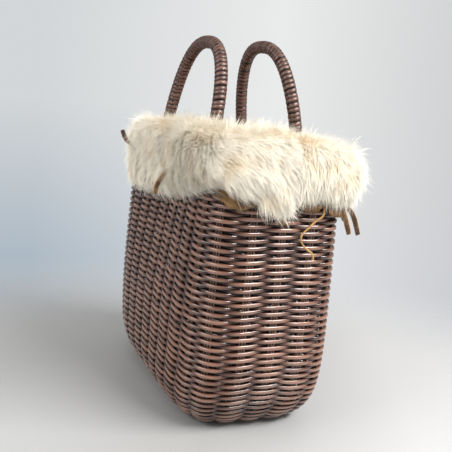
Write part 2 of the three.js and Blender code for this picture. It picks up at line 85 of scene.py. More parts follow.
# %% Node trees
class Graph:
    """A node tree with one method for any node."""

    def __init__(self, tree):
        self.tree = tree

    def feed(self, target, value):
        """Links or sets one input socket."""
        if isinstance(value, Flow):
            self.tree.links.new(value.socket, target)
        else:
            target.default_value = value

    def node(self, kind, settings=(), sockets=(), output=0):
        made = self.tree.nodes.new(kind)
        for name, value in dict(settings).items():
            if name == "stops":
                self.set_stops(made.color_ramp, value)
            else:
                setattr(made, name, value)
        for name, value in dict(sockets).items():
            self.feed(made.inputs[name], value)
        return Flow(self, made.outputs[output]) if made.outputs else None

    @staticmethod
    def set_stops(ramp, stops):
        while len(ramp.elements) < len(stops):
            ramp.elements.new(1)
        for element, (place, colour) in zip(ramp.elements, stops):
            element.position = place
            element.color = colour

    def math(self, operation, first, second=0.0):
        return self.node("ShaderNodeMath", {"operation": operation}, {0: first, 1: second})

    def vector(self, operation, first, second=(0, 0, 0), output=0):
        sockets = {0: first, 1: second}
        return self.node("ShaderNodeVectorMath", {"operation": operation}, sockets, output)

    def scaled(self, vector, scale):
        sockets = {0: vector, "Scale": scale}
        return self.node("ShaderNodeVectorMath", {"operation": "SCALE"}, sockets)

    def combine(self, x=0.0, y=0.0, z=0.0):
        return self.node("ShaderNodeCombineXYZ", (), {"X": x, "Y": y, "Z": z})

    def mix(self, factor, first, second):
        sockets = {"Factor": factor, 6: first, 7: second}
        return self.node("ShaderNodeMix", {"data_type": "RGBA"}, sockets, output=2)

    def ramp(self, value, stops):
        return self.node("ShaderNodeValToRGB", {"stops": stops}, {"Fac": value})

    def rise(self, value, low, high, **settings):
        """A value that goes from 0 to 1 between low and high."""
        sockets = {"Value": value, "From Min": low, "From Max": high, "To Min": 0.0, "To Max": 1.0}
        return self.node("ShaderNodeMapRange", settings, sockets)

    def noise(self, vector, scale, detail=2.0, roughness=0.5, output=0):
        sockets = {"Vector": vector, "Scale": scale, "Detail": detail, "Roughness": roughness}
        return self.node("ShaderNodeTexNoise", (), sockets, output)


# %% Finishes and colours
class Finish(Graph):
    """A material whose surface is one Principled shader."""

    def __init__(self, name):
        self.material = bpy.data.materials.new(name)
        self.material.use_nodes = True
        super().__init__(self.material.node_tree)
        self.surface = self.tree.nodes["Principled BSDF"]

    def kept(self, name, output="Fac"):
        """An attribute that the mesh carries."""
        return self.node("ShaderNodeAttribute", {"attribute_name": name}, output=output)

    def bump(self, height, strength, distance):
        sockets = {"Strength": strength, "Distance": distance, "Height": height}
        return self.node("ShaderNodeBump", (), sockets)

    def wear(self, sockets):
        """Feeds the shader with flows and plain values."""
        for name, value in sockets.items():
            self.feed(self.surface.inputs[name], value)


def paint(red, green, blue):
    """A colour given as it looks on a screen, from 0 to 255, as the linear value that nodes use."""
    linear = [
        c / 12.92 if c <= 0.04045 else ((c + 0.055) / 1.055) ** 2.4
        for c in (red / 255, green / 255, blue / 255)
    ]
    return (*linear, 1.0)


def tones(*stops):
    """Stops of a colour ramp. Each is a place from 0 to 1 and a colour as it looks on a screen."""
    return [(place, paint(*colour)) for place, *colour in stops]


print("middle grey is", round(paint(128, 128, 128)[0], 3), "as a linear value")

# %% [markdown]
# ## Camera, light and stage
# The view looks at one narrow end from a little above, turned so that a long side shows
# foreshortened on the left. A backdrop could be a curved sheet behind the bag. Here the world
# itself has the backdrop's pale tones and the floor fades out into it, so no edge shows from any
# side. A soft lamp stands high on the right and a weaker one on the left, which leaves the long
# side in even shade.

# %% Camera
IMAGE_SIZE = 452
FOCAL_PIXELS = 767.55
SENSOR_WIDTH = 36
NEAR_CLIP = 0.01
CAMERA_TURN = math.radians(67.65)
CAMERA_PITCH = math.radians(12.43)
CAMERA_ROLL = math.radians(4.87)
CAMERA_DISTANCE = 0.84842
CAMERA_AIM = Vector((0, 0, 0.17))
FRAME_SHIFT = (6.17 / IMAGE_SIZE, 6.58 / IMAGE_SIZE)

toward_camera = Vector((
    math.sin(CAMERA_TURN) * math.cos(CAMERA_PITCH),
    -math.cos(CAMERA_TURN) * math.cos(CAMERA_PITCH),
    math.sin(CAMERA_PITCH),
))
level_right = Vector((math.cos(CAMERA_TURN), math.sin(CAMERA_TURN), 0))
level_up = toward_camera.cross(level_right)
camera_right = math.cos(CAMERA_ROLL) * level_right + math.sin(CAMERA_ROLL) * level_up
camera_up = math.cos(CAMERA_ROLL) * level_up - math.sin(CAMERA_ROLL) * level_right

camera = bpy.data.objects.new("camera", bpy.data.cameras.new("camera"))
camera.data.sensor_width = SENSOR_WIDTH
camera.data.lens = FOCAL_PIXELS * SENSOR_WIDTH / IMAGE_SIZE
camera.data.shift_x, camera.data.shift_y = FRAME_SHIFT
camera.data.clip_start = NEAR_CLIP
turned = Matrix((camera_right, camera_up, toward_camera)).transposed().to_4x4()
camera.matrix_world = Matrix.Translation(CAMERA_AIM + CAMERA_DISTANCE * toward_camera) @ turned
scene.collection.objects.link(camera)
scene.camera = camera
scene.view_settings.view_transform = "Standard"
print("camera at", tuple(camera.matrix_world.translation))

# %% Lamps
UPWARD = Vector((0, 0, 1))


def soft_lamp(name, direction, distance, size, power, colour):
    """A soft lamp, with a width and a height, that faces the bag from a direction."""
    light = bpy.data.lights.new(name, "AREA")
    light.shape = "RECTANGLE"
    light.size, light.size_y = size
    light.energy = power
    light.color = colour
    lamp = bpy.data.objects.new(name, light)
    lamp.location = CAMERA_AIM + distance * direction.normalized()
    lamp.rotation_euler = (-direction).to_track_quat("-Z", "Y").to_euler()
    scene.collection.objects.link(lamp)
    print(name, "has", power, "W")


soft_lamp(
    "key_lamp", 0.80 * level_right + 0.50 * toward_camera + 0.78 * UPWARD,
    distance=1.6, size=(1.2, 0.30), power=45, colour=(1.0, 0.98, 0.955),
)
soft_lamp(
    "side_lamp", -0.9 * level_right + 0.5 * toward_camera + 0.5 * UPWARD,
    distance=1.8, size=(1.4, 0.8), power=17, colour=(1.0, 0.99, 0.97),
)

# %% Surround
SURROUND_LIGHT = 0.79
SURROUND_TINT = (1.0, 0.985, 0.965, 1.0)
SURROUND_GLOSS = 0.5
SURROUND_SPREAD = 1.05
SURROUND_TURN = (-0.26, -0.06)
SURROUND_LOW = tones((0.25, 172, 185, 196), (0.64, 222, 224, 227), (0.80, 206, 208, 212))
SURROUND_HIGH = tones((0.25, 211, 214, 216), (0.56, 234, 235, 235), (0.80, 208, 210, 211))

world = bpy.data.worlds.new("surround")
world.use_nodes = True
world.node_tree.nodes.clear()
scene.world = world
surround = Graph(world.node_tree)
look = surround.node("ShaderNodeTexCoord")
sideways = surround.vector("DOT_PRODUCT", look, tuple(level_right), output=1)
upward = surround.vector("DOT_PRODUCT", look, tuple(UPWARD), output=1)
place = sideways * SURROUND_SPREAD + 0.5
height = surround.rise(upward, *SURROUND_TURN)
low_tone = surround.ramp(place, SURROUND_LOW)
high_tone = surround.ramp(place, SURROUND_HIGH)
backdrop = surround.mix(height, low_tone, high_tone)
camera_ray = surround.node("ShaderNodeLightPath", output="Is Camera Ray")
seen = surround.math("MAXIMUM", camera_ray, camera_ray.other("Is Glossy Ray"))
shine = camera_ray * (1 - SURROUND_GLOSS) + SURROUND_GLOSS
shown = surround.node("ShaderNodeBackground", (), {"Color": backdrop, "Strength": shine})
lit_sockets = {"Color": SURROUND_TINT, "Strength": SURROUND_LIGHT}
lit = surround.node("ShaderNodeBackground", (), lit_sockets)
choice = surround.node("ShaderNodeMixShader", (), {0: seen, 1: lit, 2: shown})
surround.node("ShaderNodeOutputWorld", (), {"Surface": choice})
print("surround light", SURROUND_LIGHT)

# %% Floor
FLOOR_SIZE = 4.0
FLOOR_ROUGHNESS = 0.45
FLOOR_SPREAD = 1.6
# The floor's tones are painted light and shade: lighter towards the lamp on the right, darker
# across the middle where the bag stands.
FLOOR_PAINTED_LIGHT = tones((0.1, 168, 169, 170), (0.5, 155, 156, 156), (0.85, 178, 179, 180))
FADE_START = 0.42
FADE_END = 0.80
FADE_CENTRE = 0.25


def add_mesh(name, points, edges=(), faces=()):
    mesh = bpy.data.meshes.new(name)
    mesh.from_pydata([tuple(p) for p in points], list(edges), list(faces))
    piece = bpy.data.objects.new(name, mesh)
    scene.collection.objects.link(piece)
    return piece


half = FLOOR_SIZE / 2
corners = [(-half, -half, 0), (half, -half, 0), (half, half, 0), (-half, half, 0)]
floor = add_mesh("floor", corners, faces=[(0, 1, 2, 3)])
ground = Finish("pale_floor")
floor.data.materials.append(ground.material)
place = ground.node("ShaderNodeTexCoord", output="Object")
sideways = ground.vector("DOT_PRODUCT", place, tuple(level_right), output=1)
# Painted light and shade across the floor, from left to right.
floor_painted_light = ground.ramp(sideways * FLOOR_SPREAD + 0.5, FLOOR_PAINTED_LIGHT)
ground.wear({"Base Color": floor_painted_light, "Roughness": FLOOR_ROUGHNESS})
level_near = Vector((toward_camera.x, toward_camera.y, 0)).normalized()
reach = ground.vector("DISTANCE", place, tuple(FADE_CENTRE * level_near), output=1)
fade = ground.rise(reach, FADE_START, FADE_END, interpolation_type="SMOOTHSTEP")
clear = ground.node("ShaderNodeBsdfTransparent")
painted = Flow(ground, ground.surface.outputs[0])
faded = ground.node("ShaderNodeMixShader", (), {0: fade, 1: painted, 2: clear})
ground.feed(ground.tree.nodes["Material Output"].inputs["Surface"], faded)
print("floor", FLOOR_SIZE, "m square")

# %% [markdown]
# ## The shape of the wall
# The woven wall is a rounded rectangle that swells from a small base, and its long sides draw in
# towards the rim. Rows could be traced off the solid's mesh, but the rule that made the solids is
# short, so it is written again here with the same sizes, and rows that follow it lie in the wall.

# %% Wall shape
LENGTH = 0.308
WIDTH = 0.160
BASE_LENGTH = 0.212
BASE_WIDTH = 0.100
RIM_HEIGHT = 0.264
END_TURN_HEIGHT = 0.090
SIDE_TURN_HEIGHT = 0.044
CORNER_POWER = 4.8
WAIST_DEPTH = 0.024
WAIST_START = 0.100
WAIST_POWER = 1.4
WALL = 0.006
MID_WALL = WALL / 2


def signed_power(value, power):
    return np.sign(value) * np.abs(value) ** power


def half_size(z, depth, base, full, turn_height):
    """Half the wall's length or width at a height, depth inside its outer face."""
    lift = np.clip((z - depth) / (turn_height - depth), 0, 1)
    swell = np.sqrt(1 - (1 - lift) ** 2)
    return base / 2 + (full / 2 - depth - base / 2) * swell


def wall_point(turn, z, depth):
    """Points at a turn round the outline and a height, depth inside the wall's outer face."""
    turn, z = np.broadcast_arrays(np.asarray(turn, float), np.asarray(z, float))
    level = np.minimum(z, RIM_HEIGHT)
    half_x = half_size(level, depth, BASE_LENGTH, LENGTH, END_TURN_HEIGHT)
    half_y = half_size(level, depth, BASE_WIDTH, WIDTH, SIDE_TURN_HEIGHT)
    x = half_x * signed_power(np.cos(turn), 2 / CORNER_POWER)
    y = half_y * signed_power(np.sin(turn), 2 / CORNER_POWER)
    rise = np.maximum(0, (level - WAIST_START) / (RIM_HEIGHT - WAIST_START))
    drawn = WAIST_DEPTH * rise**WAIST_POWER * np.maximum(0, np.cos(np.pi * x / LENGTH))
    y = y - np.sign(y) * np.minimum(drawn, np.abs(y))
    return np.stack([x, y, z], -1)


# %% Round the outline
EIGHTH_STEPS = 300
RING_HEIGHT = 0.15


def run_lengths(points):
    """Distance along a run of points."""
    steps = np.linalg.norm(np.diff(points, axis=0), axis=-1)
    return np.concatenate([np.zeros((1, *steps.shape[1:])), np.cumsum(steps, axis=0)])


def unit(vectors):
    return vectors / np.maximum(np.linalg.norm(vectors, axis=-1, keepdims=True), 1e-12)


# An eighth of the outline, from the middle of an end to a corner, has even steps across the bag.
# The rest mirrors it, so no stretch of the outline is left with few points.
to_corner = np.linspace(0, 1, EIGHTH_STEPS) * 0.5 ** (1 / CORNER_POWER)
eighth = np.arcsin(to_corner ** (CORNER_POWER / 2))
quarter = np.concatenate([eighth, np.pi / 2 - eighth[-2::-1]])
half_ring = np.concatenate([quarter, np.pi - quarter[-2::-1]])
ring_turns = np.concatenate([half_ring, half_ring[1:] + np.pi])
ring_run = run_lengths(wall_point(ring_turns, RING_HEIGHT, MID_WALL))
ring_length = ring_run[-1]
print("outline", round(float(ring_length), 3), "m round")

# %% [markdown]
# ## Cane along a path
# Rows, stakes, handle rods and laces could each be a curve with a bevel. A geometry tree was chosen
# because one tree serves them all: a profile swept along a path. Each path is a line of points that
# carries the way out from the wall, a size, and how far it bends over or under the stakes. The tree
# moves the points, sweeps the profile, and keeps two coordinates for the finish: the distance along
# the cane and the place round it.

# %% Geometry trees
SOCKET_KINDS = {float: "NodeSocketFloat", int: "NodeSocketInt"}


class GeometryTree(Graph):
    """A geometry tree with named inputs, made into a plain mesh by grow."""

    def __init__(self, name, sizes):
        super().__init__(bpy.data.node_groups.new(name, "GeometryNodeTree"))
        face = self.tree.interface
        face.new_socket("Geometry", in_out="INPUT", socket_type="NodeSocketGeometry")
        face.new_socket("Material", in_out="INPUT", socket_type="NodeSocketMaterial")
        for size, value in sizes.items():
            made = face.new_socket(size, in_out="INPUT", socket_type=SOCKET_KINDS[type(value)])
            made.default_value = value
        face.new_socket("Geometry", in_out="OUTPUT", socket_type="NodeSocketGeometry")
        self.entry = self.tree.nodes.new("NodeGroupInput")
        self.exit = self.tree.nodes.new("NodeGroupOutput")

    def given(self, name):
        return Flow(self, self.entry.outputs[name])

    def attribute(self, name, kind="FLOAT"):
        return self.node("GeometryNodeInputNamedAttribute", {"data_type": kind}, {"Name": name})

    def store(self, geometry, name, value, kind="FLOAT", domain="POINT"):
        settings = {"data_type": kind, "domain": domain}
        sockets = {"Geometry": geometry, "Name": name, "Value": value}
        return self.node("GeometryNodeStoreNamedAttribute", settings, sockets)

    def move(self, geometry, offset):
        sockets = {"Geometry": geometry, "Offset": offset}
        return self.node("GeometryNodeSetPosition", (), sockets)

    def faced(self, curve, normal):
        sockets = {"Curve": curve, "Normal": normal}
        return self.node("GeometryNodeSetCurveNormal", {"mode": "FREE"}, sockets)

    def ring(self, sides):
        """A circle of unit width, to be swept."""
        sockets = {"Resolution": sides, "Radius": 0.5}
        return self.node("GeometryNodeCurvePrimitiveCircle", (), sockets)

    def resampled(self, curve, count):
        return self.node("GeometryNodeResampleCurve", (), {"Curve": curve, "Count": count})

    def close(self, geometry, smooth=True):
        """Ends the tree in a real mesh with its material."""
        real = self.node("GeometryNodeRealizeInstances", (), {"Geometry": geometry})
        sockets = {"Geometry": real, "Shade Smooth": smooth}
        shaded = self.node("GeometryNodeSetShadeSmooth", (), sockets)
        sockets = {"Geometry": shaded, "Material": self.given("Material")}
        self.feed(self.exit.inputs[0], self.node("GeometryNodeSetMaterial", (), sockets))
        print("tree", self.tree.name, "has", len(self.tree.nodes), "nodes")

    def grow(self, piece, material, sizes=()):
        """Runs the tree on a piece and keeps the result as its plain mesh."""
        modifier = piece.modifiers.new(self.tree.name, "NODES")
        modifier.node_group = self.tree
        values = {"Material": material, **dict(sizes)}
        for item in self.tree.interface.items_tree:
            if item.in_out == "INPUT" and item.name in values:
                modifier[item.identifier] = values[item.name]
        graph = bpy.context.evaluated_depsgraph_get()
        ready = piece.evaluated_get(graph)
        mesh = bpy.data.meshes.new_from_object(
            ready, preserve_all_data_layers=True, depsgraph=graph
        )
        piece.modifiers.remove(modifier)
        source = piece.data
        piece.data = mesh
        bpy.data.meshes.remove(source)
        mesh.name = piece.name
        triangles = sum(len(p.vertices) - 2 for p in mesh.polygons)
        print(piece.name, "has", triangles, "triangles")
        return piece


# %% Paths
PATH_DEFAULTS = {"over": 0.0, "size": 1.0, "tone": 0.5}


def keep_attribute(piece, name, values, kind="FLOAT"):
    made = piece.data.attributes.new(name, kind, "POINT")
    flat = np.asarray(values, np.float32).ravel()
    made.data.foreach_set("vector" if kind == "FLOAT_VECTOR" else "value", flat)


def add_paths(name, runs):
    """Runs of points as loose edges.

    Each run is a dictionary of points, the way out, and any of over, size and tone.
    """
    edges = []
    start = 0
    for run in runs:
        count = len(run["points"])
        edges += [(start + i, start + i + 1) for i in range(count - 1)]
        start += count
    piece = add_mesh(name, np.concatenate([run["points"] for run in runs]), edges)
    outs = [np.broadcast_to(run["out"], run["points"].shape) for run in runs]
    keep_attribute(piece, "out", np.concatenate(outs), "FLOAT_VECTOR")
    for field, default in PATH_DEFAULTS.items():
        values = [np.broadcast_to(run.get(field, default), len(run["points"])) for run in runs]
        keep_attribute(piece, field, np.concatenate(values))
    return piece


# %% Cane tree
def sweep(tree, curve, normal):
    """The tree's width and thickness along a curve, with the thickness facing along normal."""
    length = tree.node("GeometryNodeSplineParameter", output="Length")
    measured = tree.store(tree.faced(curve, normal), "along", length)
    angle = tree.node("GeometryNodeSplineParameter", output="Factor") * (2 * math.pi)
    around = tree.combine(tree.math("COSINE", angle), tree.math("SINE", angle))
    circle = tree.store(tree.ring(tree.given("Sides")), "around", around, "FLOAT_VECTOR")
    size = tree.combine(tree.given("Thickness"), tree.given("Width"), 1.0)
    profile = tree.node("GeometryNodeTransform", (), {"Geometry": circle, "Scale": size})
    sockets = {
        "Curve": measured, "Profile Curve": profile,
        "Scale": tree.attribute("size"), "Fill Caps": True,
    }
    return tree.node("GeometryNodeCurveToMesh", (), sockets)


cane_tree = GeometryTree(
    "cane_along_paths", {"Width": 0.003, "Thickness": 0.002, "Weave Depth": 0.0, "Sides": 8}
)
outward = cane_tree.attribute("out", "FLOAT_VECTOR")
bend = cane_tree.scaled(outward, cane_tree.attribute("over") * cane_tree.given("Weave Depth"))
woven = cane_tree.move(cane_tree.given("Geometry"), bend)
curve = cane_tree.node("GeometryNodeMeshToCurve", (), {"Mesh": woven})
cane_tree.close(sweep(cane_tree, curve, outward))

# %% [markdown]
# ## Cane finish
# The cane is dark brown with a satin skin: fine lines run along each strand, and the tone drifts
# from strand to strand. Painted light is added on top: a painted highlight makes the raised parts
# paler, and painted shade darkens the parts down in the weave and each cane's flanks. A wood
# pattern in space would cut across the strands, so the lines follow the two coordinates that the
# tree kept. A clear coat, stronger on the raised parts, gives the streaks of light.

# %% Cane finishes
LINES_ALONG, LINES_AROUND, LINES_SCALE = 16, 3.2, 1.6
LINES_SHIFT, DRIFT_SHIFT = 60, 90
DRIFT_ALONG = 30
LINES_SHARE, DRIFT_SHARE, STRAND_SHARE = 0.40, 0.40, 0.24
# Painted shading: how much paler raised cane and how much darker cane behind a stake is painted.
PAINTED_CROWN_SHADING, PAINTED_OVER_SHADING = 0.14, 0.12
SHADE_BASE = 0.14
LINES_ROUGHNESS = 0.16
COAT_ROUGHNESS = 0.15


def cane_finish(name, dark, middle, pale, roughness, coat, painted_edge_shade=0.18):
    """Cane with lengthwise lines, painted highlights where it stands proud and painted shade in the
    weave.
    """
    finish = Finish(name)
    along, tone, over = finish.kept("along"), finish.kept("tone"), finish.kept("over")
    around = finish.kept("around", "Vector")
    facing = finish.node("ShaderNodeSeparateXYZ", (), {"Vector": around})
    edge = facing.other("Y")
    shift = finish.combine(z=along * LINES_ALONG + tone * LINES_SHIFT)
    skin = finish.vector("ADD", finish.scaled(around, LINES_AROUND), shift)
    lines = finish.noise(skin, LINES_SCALE, detail=3.0, roughness=0.6)
    drift = finish.noise(finish.combine(along * DRIFT_ALONG, tone * DRIFT_SHIFT), 1.0)
    # Painted shading: over a stake the cane is painted paler as a highlight, most on its outer
    # face, behind a stake it is painted darker as shade, and its flanks get painted shade.
    painted_relief_shading = over * (facing * PAINTED_CROWN_SHADING + PAINTED_OVER_SHADING) - edge * edge * painted_edge_shade
    strand = (tone - 0.5) * STRAND_SHARE
    shade = lines * LINES_SHARE + drift * DRIFT_SHARE + strand + painted_relief_shading + SHADE_BASE
    finish.wear({
        "Base Color": finish.ramp(shade, tones((0.28, *dark), (0.52, *middle), (0.78, *pale))),
        "Roughness": roughness + lines * LINES_ROUGHNESS,
        "Coat Weight": (over * 0.5 + 0.5) * coat,
        "Coat Roughness": COAT_ROUGHNESS,
        "Normal": finish.bump(lines, strength=0.25, distance=0.0003),
    })
    print(name, "has", len(finish.tree.nodes), "nodes")
    return finish.material


weave_finish = cane_finish(
    "woven_cane", (9, 5, 4), (76, 47, 37), (134, 97, 80), roughness=0.14, coat=1.0
)
# The stake cane is painted paler than the rows, as painted light that shows the stakes lit in the
# dark gaps.
stake_finish = cane_finish(
    "stake_cane", (40, 28, 24), (112, 84, 72), (170, 136, 120), roughness=0.20, coat=0.4
)
# Strong painted shade on the binding's flanks darkens the grooves between its turns.
handle_finish = cane_finish(
    "handle_cane", (14, 8, 6), (88, 58, 48), (162, 128, 112), roughness=0.34, coat=0.3, painted_edge_shade=0.46
)
core_finish = cane_finish(
    "handle_rod", (30, 20, 17), (60, 42, 35), (92, 68, 58), roughness=0.36, coat=0.1
)

# %% [markdown]
# ## Laces
# A thin thong hangs loose at the near end, and four short strips of stiffer hide stick out of the
# cuff. A simulation could drop them, but their curls are set by use, so each follows a few given
# points joined by a smooth line. They are free ends, and the length of each is worked out and
# printed.

# %% Lace routes
THONG_DIAMETER = 0.0025
STRIP_WIDTH = 0.004
STRIP_FACING = (0.90, -0.35, 0.15)
LACE_STEPS = 7
LACE_ROUTES = {
    "lace_thong": [
        (156.7, 37.6, 230), (158.6, 35.6, 223), (159.8, 28.2, 218.5), (160.4, 21.2, 212),
        (160, 15.2, 205.5), (159.4, 15.2, 201), (158.8, 18.6, 195), (158.6, 24, 190.5),
        (158.6, 29, 187), (158.8, 30.6, 181),
    ],
    "lace_tail_corner": [
        (150.6, 58.4, 230.5), (151.2, 61.4, 226), (149.8, 67, 215), (148.2, 72.5, 203),
    ],
    "lace_tail_back": [(147.2, 62.8, 230.5), (146.2, 70.4, 227), (142, 80, 217), (138, 89, 200)],
    "lace_tail_front": [(53.5, -82.5, 247), (51, -86.5, 240), (46, -90.4, 230), (41, -90.4, 220)],
    "lace_tail_far": [(-65, -79, 250), (-72, -85, 254.5), (-81, -91, 260), (-85.5, -94.5, 269.5)],
}


def smooth_run(points, steps):
    """A smooth line through the points, by cubic pieces whose knots follow the root of each gap."""
    points = np.asarray(points, float)
    before, after = 2 * points[0] - points[1], 2 * points[-1] - points[-2]
    points = np.concatenate([[before], points, [after]])
    gaps = np.linalg.norm(np.diff(points, axis=0), axis=1)
    knots = np.concatenate([[0], np.cumsum(np.sqrt(gaps))])
    made = []
    for i in range(1, len(points) - 2):
        t = np.linspace(knots[i], knots[i + 1], steps, endpoint=False)[:, None]
        k0, k1, k2, k3 = knots[i - 1 : i + 3]
        p0, p1, p2, p3 = points[i - 1 : i + 3]
        a = (p0 * (k1 - t) + p1 * (t - k0)) / (k1 - k0)
        b = (p1 * (k2 - t) + p2 * (t - k1)) / (k2 - k1)
        c = (p2 * (k3 - t) + p3 * (t - k2)) / (k3 - k2)
        d = (a * (k2 - t) + b * (t - k0)) / (k2 - k0)
        e = (b * (k3 - t) + c * (t - k1)) / (k3 - k1)
        made.append((d * (k2 - t) + e * (t - k1)) / (k2 - k1))
    return np.concatenate([*made, points[-2:-1]])


lace_lines = {
    name: smooth_run(np.array(route) / 1000, LACE_STEPS) for name, route in LACE_ROUTES.items()
}
print("laces:", {name: len(line) for name, line in lace_lines.items()}, "points")

# %% Hide finishes
BLOTCH_SCALE = 70
BLOTCH_SHARE, FIBRE_SHARE = 0.6, 0.4


def hide_finish(name, dark, middle, pale, grain, cut_edge=0.0):
    """Raw hide: blotches, and a fine grain that also roughens it. Cut edges may be paler."""
    finish = Finish(name)
    place = finish.node("ShaderNodeTexCoord", output="Object")
    around = finish.node("ShaderNodeSeparateXYZ", (), {"Vector": finish.kept("around", "Vector")})
    edge = around.other("Y")
    blotch = finish.noise(place, BLOTCH_SCALE, detail=3.0)
    fibre = finish.noise(place, grain, detail=3.0, roughness=0.65)
    shade = blotch * BLOTCH_SHARE + fibre * FIBRE_SHARE + (edge * edge) ** 2 * cut_edge
    finish.wear({
        "Base Color": finish.ramp(shade, tones((0.32, *dark), (0.5, *middle), (0.68, *pale))),
        "Roughness": 0.55 + fibre * 0.3,
        "Normal": finish.bump(fibre, strength=0.4, distance=0.0004),
    })
    print(name, "has", len(finish.tree.nodes), "nodes")
    return finish.material


hide = hide_finish("raw_hide", (62, 43, 24), (112, 82, 46), (152, 118, 72), grain=900)
thong_hide = hide_finish("thong_hide", (124, 88, 46), (162, 123, 70), (192, 156, 104), grain=1500)
strip_hide = hide_finish(
    "strip_hide", (38, 23, 14), (76, 51, 32), (172, 138, 96), grain=700, cut_edge=0.28
)

# %% Lace pieces
THONG_SIZES = {"Width": 0.9 * THONG_DIAMETER, "Thickness": 0.8 * THONG_DIAMETER}
THONG_TAPER = 0.25
STRIP_SIZES = {"Width": 1.2 * STRIP_WIDTH, "Thickness": 0.0013}
STRIP_END, STRIP_SWELL, STRIP_WAVE = 0.8, 0.3, 0.8


def dress(piece, body, slot, *nodes):
    """Says which body a piece rides on and which solids it replaces. Its slot is not used."""
    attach(piece, body)
    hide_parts(*nodes)


for name, line in lace_lines.items():
    length = float(run_lengths(line)[-1])
    share = run_lengths(line) / length
    if name == "lace_thong":
        away = unit(line * (1, 1, 0))
        size = 1 - THONG_TAPER * share
        material, sizes, slot = thong_hide, THONG_SIZES, "thong"
    else:
        away = unit(np.array(STRIP_FACING))
        size = STRIP_END + STRIP_SWELL * np.sin(np.pi * (STRIP_WAVE * share))
        material, sizes, slot = strip_hide, STRIP_SIZES, "lace"
    lace = add_paths(name + "_hide", [{"points": line, "out": away, "size": size}])
    cane_tree.grow(lace, material, sizes)
    dress(lace, "basket", slot, name)
    print(name, "is", round(1000 * length, 1), "mm long")

# %% [markdown]
# ## Woven wall
# Each row of cane goes in front of one upright stake and behind the next, and the next row does the
# opposite. A bump pattern on a smooth wall would look flat at its outline, so every row is a real
# strand. Rows are spread evenly up the wall's own profile, so they close up round the bottom turn
# as woven rows do. Every row starts and ends behind a stake, where a weaver tucks the ends away.

# %% Stake places
STAKE_PITCH = 0.029
SIDE_PLACES = STAKE_PITCH * np.arange(-4, 5)
END_PLACES = STAKE_PITCH * np.arange(-2, 3)


def turn_at_x(x):
    share = x / (LENGTH / 2 - WALL)
    return np.arccos(signed_power(share, CORNER_POWER / 2))


def turn_at_y(y):
    share = y / (WIDTH / 2 - WALL)
    return np.arcsin(signed_power(share, CORNER_POWER / 2))


stake_turns = np.sort(np.concatenate([
    turn_at_y(END_PLACES),
    turn_at_x(SIDE_PLACES[::-1]),
    np.pi - turn_at_y(END_PLACES[::-1]),
    2 * np.pi - turn_at_x(SIDE_PLACES),
]) % (2 * np.pi))
stake_runs = np.interp(stake_turns, ring_turns, ring_run)
stake_total = len(stake_turns)
print(stake_total, "stakes round the wall")

# %% Row lines
SIDING_TOP = 0.2536
ROW_COUNT = 80
ROW_STEPS = 9
FIRST_STAKE = 12
PROFILE_STEPS = 240

spots = np.arange(stake_total * ROW_STEPS + 1) / ROW_STEPS
lap_runs = np.concatenate([stake_runs, [stake_runs[0] + ring_length]])
spot_runs = np.interp((spots + FIRST_STAKE) % stake_total, np.arange(stake_total + 1), lap_runs)
spot_turns = np.interp(spot_runs % ring_length, ring_run, ring_turns)

fine = MID_WALL + (SIDING_TOP - MID_WALL) * np.linspace(0, 1, PROFILE_STEPS) ** 2
profile = wall_point(spot_turns[None, :], fine[:, None], MID_WALL)
climb = run_lengths(profile)
row_shares = (np.arange(ROW_COUNT) + 0.5) / ROW_COUNT
row_heights = np.stack(
    [np.interp(row_shares * climb[-1, j], climb[:, j], fine) for j in range(len(spots))], axis=1
)
row_points = wall_point(spot_turns[None, :], row_heights, MID_WALL)
ring_way = np.gradient(row_points, axis=1)
ring_way[:, 0] = ring_way[:, -1] = row_points[:, 1] - row_points[:, -2]
up_way = unit(np.gradient(row_points, axis=0))
row_out = unit(np.cross(ring_way, up_way))
print("rows from", round(row_heights.min(), 4), "to", round(row_heights.max(), 4), "m up")

# %% Row paths
SEED = 7
ROW_DRIFT = 0.00035
ROW_SQUARENESS = 0.25
LOW_ROWS, LOW_ROW_DEPTH = 3, 0.8
OVER_SWELL, CANE_SWELL = 0.08, 0.05
rng = np.random.default_rng(SEED)


def wander(count, waves, size):
    """A slow random drift along a row."""
    place = np.linspace(0, 2 * np.pi, count)
    drift = np.zeros(count)
    for wave in waves:
        drift += np.sin(wave * place + rng.uniform(0, 2 * np.pi)) * rng.uniform(0.3, 1)
    return size * drift / len(waves)


rows = []
for k in range(ROW_COUNT):
    wave = np.cos(np.pi * (spots + FIRST_STAKE + k))
    over = wave * (1 + ROW_SQUARENESS - ROW_SQUARENESS * wave**2)
    over = over * (LOW_ROW_DEPTH if k < LOW_ROWS else 1)
    if k % 2 == FIRST_STAKE % 2:
        lap = np.r_[ROW_STEPS : len(spots) - 1, 0 : ROW_STEPS + 1]
    else:
        lap = np.arange(len(spots))
    drift = wander(len(spots), (3, 7, 13, 29), ROW_DRIFT)
    points = row_points[k] + up_way[k] * drift[:, None]
    tone = rng.uniform(0.1, 0.9)
    size = (1 + OVER_SWELL * over) * (1 + wander(len(spots), (9, 17, 31), CANE_SWELL))
    rows.append({
        "points": points[lap], "out": row_out[k][lap], "over": over[lap], "tone": tone,
        "size": size[lap],
    })
print(len(rows), "rows of", len(spots), "points")

# %% Row pieces
CANE_HEIGHT = 0.0040
CANE_SIZES = {"Width": CANE_HEIGHT, "Thickness": 0.0028, "Weave Depth": 0.0021}
middle_row = ROW_COUNT // 2
row_halves = {"siding_rows_lower": rows[:middle_row], "siding_rows_upper": rows[middle_row:]}
for name, part in row_halves.items():
    siding = cane_tree.grow(add_paths(name, part), weave_finish, CANE_SIZES)
    dress(siding, "basket", "weave", "siding_weave")

